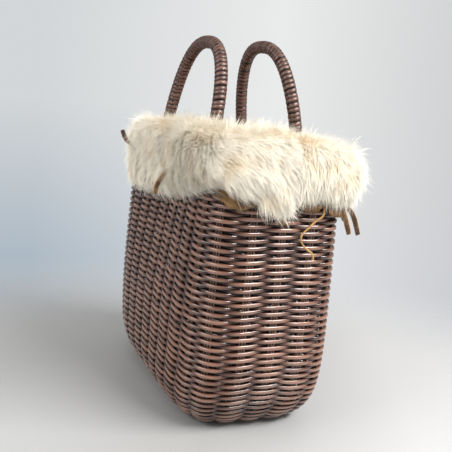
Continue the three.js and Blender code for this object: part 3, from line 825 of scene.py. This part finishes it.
# %% [markdown]
# ## Stakes and base
# Each stake is a bundle of three thin canes. Seven bundles run up one long side, across the base
# and up the other, three run lengthwise over them, and the short ones near the corners start at the
# turn. On the base, straight rows weave over and under the cross bundles. A strip could stand for
# each bundle, but it shows between the rows and from above, so its canes are separate.

# %% Stake paths
STAKE_CANES = 3
STAKE_CANE_PITCH = 0.0027
STAKE_STEPS = 46
STAKE_STEP_POWER = 1.8
ACROSS_STEPS = 14
BYE_FOOT = 0.026
LONG_STAKE_LIFT = 0.0042
TURN_STEP = 1e-3
stake_shares = np.linspace(0, 1, STAKE_STEPS) ** STAKE_STEP_POWER
stake_heights = MID_WALL + (SIDING_TOP - MID_WALL) * stake_shares


def climbing(turn, offset, foot=0.0):
    """One cane of a bundle, from its foot up to the rim."""
    heights = stake_heights[stake_heights >= foot]
    points, ahead, behind = (
        wall_point(turn + step, heights, MID_WALL) for step in (0, TURN_STEP, -TURN_STEP)
    )
    return points + unit(ahead - behind) * offset


def bundle(turn, opposite=None, lift=0.0, foot=0.0):
    """The canes of one stake, which may go on across the base and up the opposite side."""
    runs = []
    for i in range(STAKE_CANES):
        offset = (i - (STAKE_CANES - 1) / 2) * STAKE_CANE_PITCH
        line = climbing(turn, offset, foot)
        if opposite is not None:
            other = climbing(opposite, -offset, foot)
            across = np.linspace(other[0], line[0], ACROSS_STEPS)[1:-1]
            across[:, 2] += lift
            line = np.concatenate([other[::-1], across, line])
        away = unit(line * (1, 1, 0) + 1e-6)
        runs.append({"points": line, "out": away, "tone": rng.uniform(0.2, 0.8)})
    return runs


cross_runs, long_runs, bye_runs = [], [], []
for x in SIDE_PLACES[1:-1]:
    cross_runs += bundle(turn_at_x(x), -turn_at_x(x))
for y in END_PLACES[1:-1]:
    long_runs += bundle(turn_at_y(y), np.pi - turn_at_y(y), LONG_STAKE_LIFT)
for corner_turn in (turn_at_x(SIDE_PLACES[-1]), turn_at_y(END_PLACES[-1])):
    for turn in (corner_turn, np.pi - corner_turn, np.pi + corner_turn, -corner_turn):
        bye_runs += bundle(turn, foot=BYE_FOOT)
print("stake canes:", len(cross_runs), "across,", len(long_runs), "long,", len(bye_runs), "short")

# %% Stake pieces
STAKE_CANE = 0.0020
STAKE_SIZES = {"Width": STAKE_CANE, "Thickness": STAKE_CANE, "Sides": 6}
STAKE_PIECES = {
    "cross_stake_canes": (cross_runs, [f"cross_stake_{i}" for i in range(1, 8)]),
    "long_stake_canes": (long_runs, [f"long_stake_{i}" for i in range(1, 4)]),
    "corner_stake_canes": (
        bye_runs, [f"{place}_stake_{i}" for place in ("side", "end") for i in range(1, 5)]
    ),
}
for name, (runs, nodes) in STAKE_PIECES.items():
    stakes = cane_tree.grow(add_paths(name, runs), stake_finish, STAKE_SIZES)
    dress(stakes, "basket", "stake", *nodes)

# %% Base rows
BASE_ROWS = 29
BASE_ROW_POINTS = 80
BASE_SIZES = {"Width": 0.0037, "Thickness": 0.0025, "Weave Depth": 0.0017}
base_places = wall_point(turn_at_x(SIDE_PLACES[1:-1]), MID_WALL, MID_WALL)[:, 0]
base_pitch = base_places[1] - base_places[0]
base_half = BASE_WIDTH / 2 - CANE_HEIGHT / 2
base_rows = []
for k, y in enumerate(np.linspace(-base_half, base_half, BASE_ROWS)):
    corner_cut = (1 - abs(2 * y / BASE_WIDTH) ** CORNER_POWER) ** (1 / CORNER_POWER)
    end = BASE_LENGTH / 2 * corner_cut
    x = np.linspace(-end, end, BASE_ROW_POINTS)
    wave = np.cos(np.pi * (x / base_pitch + k))
    points = np.stack([x, np.full_like(x, y), np.full_like(x, MID_WALL)], -1)
    tone = rng.uniform(0.1, 0.9)
    base_rows.append({"points": points, "out": (0, 0, -1), "over": wave, "tone": tone})
base = cane_tree.grow(add_paths("base_rows", base_rows), weave_finish, BASE_SIZES)
dress(base, "basket", "weave", "base_weave")

# %% [markdown]
# ## Windings
# The rim's border is three canes twisted round each other, and each handle is bound from leg to leg
# with one flat cane. A screw modifier winds round a straight axis only, and both of these go round
# a curved path. So one tree makes them: it spaces points along the path, swings them round it, and
# sweeps the cane with its flat side facing the path.

# %% Winding tree
STRAY_SCALE = 0.7
winding_tree = GeometryTree("cane_wound_on_a_path", {
    "Turns": 60.0, "Steps": 900, "Radius": 0.005, "Phase": 0.0, "Stray": 0.0,
    "Width": 0.0047, "Thickness": 0.0024, "Sides": 8,
})
given = winding_tree.given
path_curve = winding_tree.node("GeometryNodeMeshToCurve", (), {"Mesh": given("Geometry")})
spaced = winding_tree.resampled(path_curve, given("Steps"))
turns_done = winding_tree.node("GeometryNodeSplineParameter", output="Factor") * given("Turns")
sockets = {"W": turns_done * STRAY_SCALE, "Scale": 1.0}
stray = winding_tree.node("ShaderNodeTexNoise", {"noise_dimensions": "1D"}, sockets)
angle = (turns_done + (stray - 0.5) * given("Stray") + given("Phase")) * (2 * math.pi)
outward = winding_tree.attribute("out", "FLOAT_VECTOR")
heading = winding_tree.node("GeometryNodeInputTangent")
across = winding_tree.vector("CROSS_PRODUCT", heading, outward)
spoke = winding_tree.vector(
    "ADD",
    winding_tree.scaled(outward, winding_tree.math("COSINE", angle)),
    winding_tree.scaled(across, winding_tree.math("SINE", angle)),
)
spoked = winding_tree.store(spaced, "spoke", spoke, "FLOAT_VECTOR")
spoke_kept = winding_tree.attribute("spoke", "FLOAT_VECTOR")
swung = winding_tree.move(spoked, winding_tree.scaled(spoke_kept, given("Radius")))
winding_tree.close(sweep(winding_tree, swung, spoke_kept))

# %% Rim border
BORDER_LEVEL = 0.259
BORDER_CANE = 0.0046
BORDER_RADIUS = 0.0020
BORDER_TONES = (0.3, 0.5, 0.7)
BORDER_TWIST = 0.045
BORDER_TURN_STEPS = 14
RIM_SKIP = 6
rim_line = wall_point(ring_turns[::RIM_SKIP], BORDER_LEVEL, MID_WALL)
rim_out = unit(np.cross(np.gradient(rim_line, axis=0), (0, 0, 1)))
rim_out[0] = rim_out[-1] = (1, 0, 0)
rim_turns = round(float(ring_length) / BORDER_TWIST)
for strand, tone in enumerate(BORDER_TONES):
    path = {"points": rim_line, "out": rim_out, "tone": tone}
    border = add_paths(f"rim_border_cane_{strand + 1}", [path])
    winding_tree.grow(border, weave_finish, {
        "Turns": float(rim_turns), "Steps": BORDER_TURN_STEPS * rim_turns,
        "Radius": BORDER_RADIUS, "Phase": strand / len(BORDER_TONES),
        "Width": BORDER_CANE, "Thickness": BORDER_CANE,
    })
    dress(border, "basket", "weave", "rim_border")

# %% Handle path
LEG_SPACING = 5 * STAKE_PITCH
HANDLE_RISE = 0.116
HANDLE_LEAN = math.radians(9)
HANDLE_POWER = 2.5
LEG_Y = 0.04928
PIVOT_HEIGHT = 0.258
ARCH_POINTS = 400

arch_turn = np.pi * (1 - np.linspace(0, 1, ARCH_POINTS))
arch = np.stack([
    LEG_SPACING / 2 * signed_power(np.cos(arch_turn), 2 / HANDLE_POWER),
    HANDLE_RISE * np.maximum(0, np.sin(arch_turn)) ** (2 / HANDLE_POWER),
], -1)
arch_run = run_lengths(arch)
arch_length = float(arch_run[-1])
print("each handle's arch is", round(arch_length, 3), "m long")


def handle_line(side, first, last, count):
    """Points along one handle's middle line, and the way out of its plane."""
    spaced = np.linspace(first, last, count)
    x = np.interp(spaced, arch_run, arch[:, 0])
    rise = np.interp(spaced, arch_run, arch[:, 1])
    y = side * (LEG_Y - rise * math.sin(HANDLE_LEAN))
    z = PIVOT_HEIGHT + rise * math.cos(HANDLE_LEAN)
    out = np.array([0, side * math.cos(HANDLE_LEAN), math.sin(HANDLE_LEAN)])
    return np.stack([x, y, z], -1), out


# %% Handle pieces
SIDES = {"front": -1, "back": 1}
CORE_DIAMETER = 0.009
CORE_POINTS = 90
CORE_SIZES = {"Width": CORE_DIAMETER, "Thickness": CORE_DIAMETER, "Sides": 14}
CORE_END_SIZE = 0.6
BINDING_START = 0.014
BINDING_PITCH = 0.0047
BINDING_POINTS = 120
BINDING_TURN_STEPS = 16
binding_end = arch_length - BINDING_START
binding_turns = round((binding_end - BINDING_START) / BINDING_PITCH)
BINDING_SIZES = {
    "Turns": float(binding_turns), "Steps": BINDING_TURN_STEPS * binding_turns,
    "Radius": CORE_DIAMETER / 2 + 0.0010, "Stray": 0.6, "Width": 0.0061, "Thickness": 0.0024,
}
for side_name, side in SIDES.items():
    body = f"{side_name}_handle"
    line, out = handle_line(side, 0, arch_length, CORE_POINTS)
    size = np.ones(len(line))
    size[[0, -1]] = CORE_END_SIZE
    rod = add_paths(f"{body}_rod", [{"points": line, "out": out, "size": size}])
    cane_tree.grow(rod, core_finish, CORE_SIZES)
    dress(rod, body, "handle_core", f"{body}_core")

    line, out = handle_line(side, BINDING_START, binding_end, BINDING_POINTS)
    binding = add_paths(f"{body}_winding", [{"points": line, "out": out}])
    winding_tree.grow(binding, handle_finish, BINDING_SIZES)
    dress(binding, body, "handle_binding", f"{body}_binding")
    print(body, "has", binding_turns, "turns of binding")

# %% Leg ends
leg_tails = [node for name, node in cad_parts.items() if "_leg_tail_" in name]
for tail in leg_tails:
    tail.data.materials.clear()
    tail.data.materials.append(core_finish)
print(len(leg_tails), "leg ends keep their solids, in the rod's finish")

# %% [markdown]
# ## Fur cuff
# Two pelts hang over the rim, joined at the middle of each end. Under the hair each has a hide with
# a ragged lower edge, and a soft pile of underfur. Cloth could drape the hides, but a rigid rim
# holds them and the hair hides them, so they are lofted: one closed section after another along the
# rim. Tables give the hang of the cuff, as places along a pelt from its near seam and drops there,
# all in millimetres.

# %% Cuff tables
FRONT_TIPS = [
    (0, 46), (8, 48), (30, 36), (52, 24), (64, 22), (88, 31), (124, 41), (206, 54), (256, 59),
    (293, 60), (335, 44), (370, 36), (395, 34), (410, 36),
]
BACK_TIPS = [
    (0, 34), (7, 31), (28, 32), (54, 35), (64, 42), (74, 47), (90, 48), (124, 48), (206, 56),
    (290, 56), (335, 46), (370, 36), (410, 34),
]


def pelt_turns(side, count):
    """Turns along one pelt, spread evenly along the rim, from seam to seam."""
    first = 0.0 if side > 0 else ring_length / 2
    runs = first + np.linspace(0, ring_length / 2, count)
    return np.interp(runs, ring_run, ring_turns)


def from_near_seam(turns, side):
    """Distance along a pelt from the seam at the near end, in millimetres."""
    runs = np.interp(turns % (2 * np.pi), ring_turns, ring_run)
    return 1000 * np.where(side < 0, (ring_length - runs) % ring_length, runs)


def hanging_at(turns, side, front_table, back_table):
    """A drop along a pelt, in metres, from the table of its side."""
    places, drops = np.array(front_table if side < 0 else back_table, float).T
    return np.interp(from_near_seam(turns, side), places, drops) / 1000


def tips_at(turns, side):
    """How far the tips of the hair hang below the rim."""
    return hanging_at(turns, side, FRONT_TIPS, BACK_TIPS)


for side_name, side in SIDES.items():
    print(side_name, "tips hang", tips_at(pelt_turns(side, 5), side).round(3), "m")

# %% Lofting
SEAM_GAP = 0.0006


def loft(name, sections):
    """One closed skin over a run of equal closed sections, capped at both ends."""
    count, ring = sections.shape[:2]
    faces = []
    for i in range(count - 1):
        for j in range(ring):
            k = (j + 1) % ring
            faces.append((i * ring + j, (i + 1) * ring + j, (i + 1) * ring + k, i * ring + k))
    faces.append(tuple(range(ring)))
    faces.append(tuple((count - 1) * ring + j for j in reversed(range(ring))))
    piece = add_mesh(name, sections.reshape(-1, 3), faces=faces)
    mesh = piece.data
    mesh.update()
    mesh.calc_loop_triangles()
    corners = [[mesh.vertices[v].co for v in t.vertices] for t in mesh.loop_triangles]
    if sum(a.dot(b.cross(c)) for a, b, c in corners) < 0:
        mesh.flip_normals()
    for polygon in mesh.polygons:
        polygon.use_smooth = True
    return piece


def cuff_sections(turns, side, places):
    """Sections of a pelt: places is an array of [station, place, (outward, above the rim)]."""
    sections = np.stack([
        np.stack([wall_point(t, RIM_HEIGHT + above, -outward) for outward, above in row])
        for t, row in zip(turns, places)
    ])
    sections[0, :, 1] = sections[-1, :, 1] = side * SEAM_GAP / 2
    return sections


# %% Hides
SKIN = 0.0015
GAP = 0.0004
BORDER_OVERHANG = 0.0015
BORDER_HEIGHT = 0.010
INNER_EDGE, CREST, CREST_RISE = -0.0075, -0.002, 0.0006
PELT_STATIONS = 240
RAG_SIZE, RAG_MIDDLE, RAG_FINE = 0.006, 0.55, 0.25
HIDE_FLARE = 0.004
FALL_PLACES = np.array([0.0, 0.25, 0.5, 0.75, 1.0])
LOW_SKIN, LOW_EDGE = 0.8 * SKIN, 0.0002
FRONT_HIDE = [
    (0, 5), (7, 4), (13, -3), (28, -3), (36, 4), (44, 10), (58, 10), (68, 0), (90, -5), (340, -5),
    (360, 4), (380, -2), (410, 3),
]
BACK_HIDE = [
    (0, 5), (4, 4), (9, 1), (15, 8), (26, 8), (32, 1), (37, 5), (44, 11), (58, 11), (68, 2),
    (96, -4), (340, -4), (360, 5), (380, -2), (410, 3),
]


def hide_section(low):
    """The inside of a hide from its inner edge down to low, and its outside back up."""
    inner, outer = BORDER_OVERHANG + GAP, BORDER_OVERHANG + GAP + SKIN
    tuck = -2 * BORDER_HEIGHT
    fall = tuck + (low - tuck) * FALL_PLACES
    flare = HIDE_FLARE * FALL_PLACES**3
    inside = [(INNER_EDGE, GAP), (CREST, GAP + CREST_RISE), (inner, GAP), (inner, -BORDER_HEIGHT)]
    inside += [(GAP + f, z) for f, z in zip(flare, fall)]
    outside = [(GAP + LOW_SKIN + f, z - LOW_EDGE) for f, z in zip(flare, fall)][::-1]
    outside += [(outer, -BORDER_HEIGHT), (outer, GAP + SKIN)]
    outside += [(CREST, GAP + SKIN + CREST_RISE), (INNER_EDGE, GAP + SKIN)]
    return inside + outside


skins = {}
for side_name, side in SIDES.items():
    turns = pelt_turns(side, PELT_STATIONS)
    rag = np.abs(wander(PELT_STATIONS, (11, 17, 23, 37), 1.0))
    rag = rag + RAG_FINE * np.abs(wander(PELT_STATIONS, (61, 83), 1.0))
    low = -(tips_at(turns, side) + hanging_at(turns, side, FRONT_HIDE, BACK_HIDE))
    low -= RAG_SIZE * (rag - RAG_MIDDLE)
    places = [hide_section(station_low) for station_low in low]
    skin = loft(f"{side_name}_pelt_hide", cuff_sections(turns, side, places))
    skin.data.materials.append(hide)
    dress(skin, "basket", "pelt_skin", f"{side_name}_pelt_skin")
    skins[side_name] = skin
    print(skin.name, len(skin.data.polygons), "faces")

# %% [markdown]
# ## Fur finish
# The fur is tan at the roots and cream at the tips, with warmer patches. A pattern in space alone
# would paint across the hairs, so the colour also follows each hair from root to tip, the height of
# its tuft and a chance of its own.

# %% Cream fur
PATCH_SCALE = 30
TIP_SHARE, TUFT_SHARE, HAIR_SHARE, PATCH_SHARE = 0.28, 0.62, 0.30, 0.80
RIPE_BASE = 0.06
FUR_TONES = tones((0.08, 206, 162, 114), (0.33, 233, 216, 185), (0.62, 234, 229, 216))

fur = Finish("cream_fur")
patch = fur.noise(fur.node("ShaderNodeTexCoord", output="Object"), PATCH_SCALE)
hair_share = fur.kept("tip") * TIP_SHARE + fur.kept("tuft") * TUFT_SHARE
ripeness = hair_share + fur.kept("lock") * HAIR_SHARE + (patch - 0.5) * PATCH_SHARE - RIPE_BASE
fur.wear({
    "Base Color": fur.ramp(ripeness, FUR_TONES),
    "Roughness": 0.85,
    "Specular IOR Level": 0.15,
    "Sheen Weight": 0.35,
    "Sheen Roughness": 0.5,
})
print("cream_fur has", len(fur.tree.nodes), "nodes")

# %% [markdown]
# ## Pile and hair
# Blender has hair curves of its own, but the export keeps only meshes, so two trees make the fur as
# one. The first rounds the soft pile under the hair and raises tufts on it. The second plants
# thousands of fine tapered locks on the pile. They lie down over the cuff, lean together in clumps
# and stand up a little at the crown.

# %% Pile tree
pile_tree = GeometryTree("tufted_pile", {"Tuft Size": 0.014, "Tuft Height": 0.0075, "Levels": 1})
given = pile_tree.given
sockets = {"Mesh": given("Geometry"), "Level": given("Levels")}
rounded = pile_tree.node("GeometryNodeSubdivisionSurface", (), sockets)
spot = pile_tree.scaled(pile_tree.node("GeometryNodeInputPosition"), 1 / given("Tuft Size"))
swayed = pile_tree.vector("ADD", spot, pile_tree.noise(spot, 0.9, 1.0, output="Color"))
sockets = {"Vector": swayed, "Scale": 1.0, "Smoothness": 0.6}
tuft = 1.0 - pile_tree.node("ShaderNodeTexVoronoi", {"feature": "SMOOTH_F1"}, sockets)
tufted = pile_tree.store(rounded, "tuft", tuft)
lift = (tuft - 0.5) * given("Tuft Height") * pile_tree.attribute("fullness")
raise_by = pile_tree.scaled(pile_tree.node("GeometryNodeInputNormal"), lift)
pile_tree.close(pile_tree.move(tufted, raise_by))

# %% Lock roots
SWIRL_SCALE, SWIRL = 45, 2.2
lock_tree = GeometryTree("locks_on_a_pelt", {
    "Density": 1000.0, "Length": 0.0145, "Thickness": 0.0007, "Points": 3, "Clump Size": 0.008,
    "Clumping": 0.45, "Disorder": 0.45, "Seed": 1,
})
given = lock_tree.given
RANDOM_OUTPUTS = {"FLOAT_VECTOR": 0, "FLOAT": 1, "INT": 2}


def random_value(kind, low, high, seed):
    """A random value for each lock. The node has one pair of limits for each kind of value."""
    output = RANDOM_OUTPUTS[kind]
    sockets = {2 * output: low, 2 * output + 1: high, "Seed": seed}
    return lock_tree.node("FunctionNodeRandomValue", {"data_type": kind}, sockets, output)


density = lock_tree.attribute("growth") * given("Density")
sockets = {"Mesh": given("Geometry"), "Density": density, "Seed": given("Seed")}
roots = lock_tree.node("GeometryNodeDistributePointsOnFaces", (), sockets)
root_place = lock_tree.node("GeometryNodeInputPosition")
sockets = {"Vector": lock_tree.scaled(root_place, 1 / given("Clump Size")), "Scale": 1.0}
cell = lock_tree.node("ShaderNodeTexVoronoi", (), sockets, output="Position")
clump_centre = lock_tree.scaled(cell, given("Clump Size"))
to_centre = lock_tree.vector("SUBTRACT", clump_centre, root_place)
stray = random_value("FLOAT_VECTOR", (-1, -1, -1), (1, 1, 1), given("Seed"))
noise = lock_tree.noise(root_place, SWIRL_SCALE, 1.0, output="Color")
swirl = lock_tree.vector("SUBTRACT", noise, (0.5, 0.5, 0.5))
lay = lock_tree.attribute("lay", "FLOAT_VECTOR")
for part, weight in (
    (to_centre, given("Clumping") / given("Length")),
    (stray, given("Disorder")),
    (swirl, SWIRL),
):
    lay = lock_tree.vector("ADD", lay, lock_tree.scaled(part, weight))
turning = lock_tree.node(
    "FunctionNodeAxesToRotation",
    {"primary_axis": "Z", "secondary_axis": "X"},
    {"Primary Axis": roots.other("Normal"), "Secondary Axis": lay},
)
print("the locks' lean takes", len(lock_tree.tree.nodes), "nodes")

# %% Lock shapes
LOCK_BENDS = [
    ((0.30, 0.04, 0.24), (0.90, -0.04, 0.24)),
    ((0.24, -0.06, 0.28), (0.86, 0.06, 0.34)),
    ((0.20, 0.02, 0.34), (0.74, 0.02, 0.46)),
    ((0.36, 0.06, 0.16), (0.97, -0.08, 0.12)),
]
BEND_STEPS = 12
LOCK_SIDES = 3
LOCK_FLATNESS = (0.22, 1.0, 1.0)
LOCK_TAPER = 1.6
TIP_MERGE = 0.0001


def lock_shape(middle, end):
    """One lock of unit length: a flat three-sided strand that bends and ends in a point."""
    sockets = {"Resolution": BEND_STEPS, "Start": (0, 0, 0), "Middle": middle, "End": end}
    strand = lock_tree.node("GeometryNodeCurveQuadraticBezier", (), sockets)
    strand = lock_tree.resampled(strand, given("Points"))
    factor = lock_tree.node("GeometryNodeSplineParameter", output="Factor")
    strand = lock_tree.faced(lock_tree.store(strand, "tip", factor), (0, 0, 1))
    sockets = {"Geometry": lock_tree.ring(LOCK_SIDES), "Scale": LOCK_FLATNESS}
    profile = lock_tree.node("GeometryNodeTransform", (), sockets)
    taper = (1.0 - factor**LOCK_TAPER) * given("Thickness") / given("Length")
    sockets = {"Curve": strand, "Profile Curve": profile, "Scale": taper, "Fill Caps": False}
    shape = lock_tree.node("GeometryNodeCurveToMesh", (), sockets)
    sockets = {"Geometry": shape, "Distance": TIP_MERGE}
    shape = lock_tree.node("GeometryNodeMergeByDistance", (), sockets)
    return lock_tree.node("GeometryNodeGeometryToInstance", (), {"Geometry": shape})


lock_shapes = lock_tree.node("GeometryNodeJoinGeometry")
for middle, end in LOCK_BENDS:
    lock_tree.feed(lock_shapes.socket.node.inputs["Geometry"], lock_shape(middle, end))
print(len(LOCK_BENDS), "shapes of lock")

# %% Planted locks
EVEN_REACH, LONG_REACH, LONG_POWER, LEAST_REACH = 0.45, 0.65, 7, 0.55
UPRIGHT, UPRIGHT_LOSS = 2.6, 1.6
SHAPE_SEED = 3

chance = random_value("FLOAT", 0.0, 1.0, given("Seed"))
stretch = chance * EVEN_REACH + chance**LONG_POWER * LONG_REACH + LEAST_REACH
reach = given("Length") * lock_tree.attribute("stature") * stretch
lie = lock_tree.attribute("lie")
stance = lock_tree.combine(lie * reach, reach, (UPRIGHT - lie * UPRIGHT_LOSS) * reach)
choice = random_value("INT", 0, len(LOCK_BENDS) - 1, SHAPE_SEED)
planted = lock_tree.node("GeometryNodeInstanceOnPoints", (), {
    "Points": roots, "Instance": lock_shapes, "Pick Instance": True,
    "Instance Index": choice, "Rotation": turning, "Scale": stance,
})
toned = lock_tree.store(planted, "lock", chance, domain="INSTANCE")
lock_tree.close(toned, smooth=False)

# %% [markdown]
# ## Shape of the pile
# The pile could be one even roll, but the real cuff is full at the near end, thin at the far corner
# and set back where the handle legs stand. Its section starts from one profile, and tables in
# percent along each pelt change how far it puffs out, rises and leans inward.

# %% Pile profile
# Each place of the profile is (outward, above the rim) in metres. A height under HANGING is a share
# of the hang instead.
HANGING = -0.05
PILE_PROFILE = np.array([
    [-0.0040, 0.0030], [-0.0046, 0.0100], [-0.0046, 0.0190], [-0.0036, 0.0270], [0.0010, 0.0325],
    [0.0070, 0.0310], [0.0122, 0.0240], [0.0154, 0.0130], [0.0164, 0.0010], [0.0160, -0.25],
    [0.0148, -0.50], [0.0118, -0.76], [0.0066, -0.95], [0.0030, -0.90], [0.0026, -0.50],
    [0.0042, -0.0115], [0.0042, 0.0024], [0.0000, 0.0026],
])
CROWN_PLACES = 9
OUTSIDE = 0.005
INNER_PUFF = 0.013
INNER_SHARE = np.array([0.2, 0.7, 1, 0.9, 0.35, 0, 0, 0, 0, 0, 0, 0, 0, 0, 0, 0, 0, 0])
FRONT_PUFF = [
    (0, 100), (34, 98), (52, 92), (74, 84), (100, 92), (124, 104), (146, 122), (162, 112),
    (180, 104), (248, 104), (260, 122), (276, 122), (287, 84), (300, 50), (318, 32), (344, 26),
    (372, 36), (410, 84),
]
BACK_PUFF = [
    (0, 100), (30, 96), (52, 86), (74, 62), (100, 68), (124, 82), (160, 96), (270, 96), (300, 78),
    (338, 44), (372, 70), (410, 96),
]
FRONT_CROWN = [
    (0, 100), (40, 100), (74, 98), (110, 98), (150, 84), (180, 75), (230, 71), (270, 66),
    (290, 50), (320, 30), (340, 12), (372, 16), (390, 28), (410, 38),
]
BACK_CROWN = [
    (0, 92), (34, 76), (76, 42), (110, 52), (150, 46), (200, 46), (270, 58), (300, 52), (338, 26),
    (380, 16), (410, 22),
]
INNER_FULL = [
    (0, 110), (96, 110), (118, -20), (146, -20), (160, 90), (250, 90), (264, -20), (292, -20),
    (308, 90), (410, 90),
]
print(len(PILE_PROFILE), "places round the pile's section")

# %% Pile sections
PILE_STATIONS = 150
TIP_REACH = 0.008
LEAST_HANG = 0.012
PUFF_WANDER, CROWN_WANDER = 0.14, 0.06


def share_at(turns, side, front_table, back_table):
    """A share along a pelt, from tables in percent."""
    return 10 * hanging_at(turns, side, front_table, back_table)


def pile_sections(turns, side):
    """Sections of the pile, shaped by the tables with a little random drift."""
    hang = np.maximum(LEAST_HANG, tips_at(turns, side) - TIP_REACH)
    puff = share_at(turns, side, FRONT_PUFF, BACK_PUFF)
    puff = puff * (1 + wander(PILE_STATIONS, (5, 9, 14), PUFF_WANDER))
    crown = share_at(turns, side, FRONT_CROWN, BACK_CROWN)
    crown = crown * (1 + wander(PILE_STATIONS, (6, 11, 17), CROWN_WANDER))
    inner_full = share_at(turns, side, INNER_FULL, INNER_FULL)
    places = np.tile(PILE_PROFILE, (PILE_STATIONS, 1, 1))
    hanging = PILE_PROFILE[:, 1] < HANGING
    places[:, hanging, 1] = PILE_PROFILE[hanging, 1][None, :] * hang[:, None]
    places[:, :CROWN_PLACES, 1] *= crown[:, None]
    places[:, PILE_PROFILE[:, 0] > OUTSIDE, 0] *= puff[:, None]
    places[:, :, 0] -= INNER_PUFF * inner_full[:, None] * INNER_SHARE[None, :]
    return cuff_sections(turns, side, places)


# %% [markdown]
# ## Planting the cuff
# Each pile carries the way its hair lies, and how thick, long and flat the hair is at each place of
# the profile. Hair of one length looks like a brush, so each pelt has short under hair and fewer,
# longer guard hairs, in two layers each to keep a piece light.

# %% Hair tables
FULLNESS = np.array([0, 0.6, 1, 1, 1, 1, 1, 1, 1, 1, 1, 1, 0.4, 0, 0, 0, 0, 0])
GROWTH = np.array([0.3, 0.9, 1, 1, 1, 1, 1, 1, 1, 1, 1, 1.4, 1.6, 0.5, 0, 0, 0, 0])
LIE = np.array([0.6, 0.6, 0.55, 0.5, 0.5, 0.6, 0.8, 0.95, 1, 1, 1, 1, 1, 1, 1, 1, 1, 1])
STATURE = np.array([
    0.6, 0.7, 0.8, 0.85, 0.85, 0.9, 1, 1, 1, 1, 1, 1.1, 1.1, 0.9, 0.7, 0.7, 0.7, 0.7,
])
FRONT_HAIR = [(0, 100), (272, 100), (296, 74), (318, 56), (345, 50), (380, 76), (410, 90)]
BACK_HAIR = [(0, 100), (270, 100), (340, 76), (410, 90)]
FRONT_SWEEP = [
    (0, 40), (40, 110), (70, 150), (96, 170), (140, 130), (200, 50), (280, -20), (350, -45),
    (410, 0),
]
BACK_SWEEP = [(0, -10), (30, 15), (80, 25), (200, -30), (410, 0)]
SWEEP_WANDER = 0.4
SEAM_STATIONS = 4
UNDER_HAIR = {
    "Density": 1100000.0, "Length": 0.0125, "Thickness": 0.00042, "Points": 2, "Disorder": 0.5,
}
GUARD_HAIR = {
    "Density": 350000.0, "Length": 0.0160, "Thickness": 0.00042, "Points": 3, "Disorder": 0.38,
}
HAIR_PIECES = [UNDER_HAIR, UNDER_HAIR, GUARD_HAIR, GUARD_HAIR]
HAIR_SEED = 11
print(len(HAIR_PIECES), "layers of hair on each pelt")


# %% Combing
def comb(pile, sections, turns, side):
    """Keeps on the pile how its hair lies and grows."""
    sweeping = share_at(turns, side, FRONT_SWEEP, BACK_SWEEP)
    sweeping = sweeping + wander(PILE_STATIONS, (4, 7, 12), SWEEP_WANDER)
    down, along = (unit(np.gradient(sections, axis=axis)) for axis in (1, 0))
    keep_attribute(pile, "lay", down + along * sweeping[:, None, None], "FLOAT_VECTOR")
    stations = np.arange(PILE_STATIONS)
    seam_fade = np.clip(np.minimum(stations, stations[::-1]) / SEAM_STATIONS, 0, 1)
    hair_share = share_at(turns, side, FRONT_HAIR, BACK_HAIR)
    keep_attribute(pile, "fullness", seam_fade[:, None] * FULLNESS[None, :])
    keep_attribute(pile, "stature", hair_share[:, None] * STATURE[None, :])
    keep_attribute(pile, "growth", np.tile(GROWTH, PILE_STATIONS))
    keep_attribute(pile, "lie", np.tile(LIE, PILE_STATIONS))


# %% Pile and locks
for side_name, side in SIDES.items():
    turns = pelt_turns(side, PILE_STATIONS)
    sections = pile_sections(turns, side)
    pile = loft(f"{side_name}_fur_pile", sections)
    comb(pile, sections, turns, side)
    pile_tree.grow(pile, fur.material)
    for i, hair in enumerate(HAIR_PIECES):
        locks = bpy.data.objects.new(f"{side_name}_fur_locks_{i + 1}", pile.data.copy())
        scene.collection.objects.link(locks)
        lock_tree.grow(locks, fur.material, {**hair, "Seed": HAIR_SEED + i})
        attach(locks, "basket")
    dress(pile, "basket", "fur", f"{side_name}_pelt_fur")
    skin = skins[side_name]
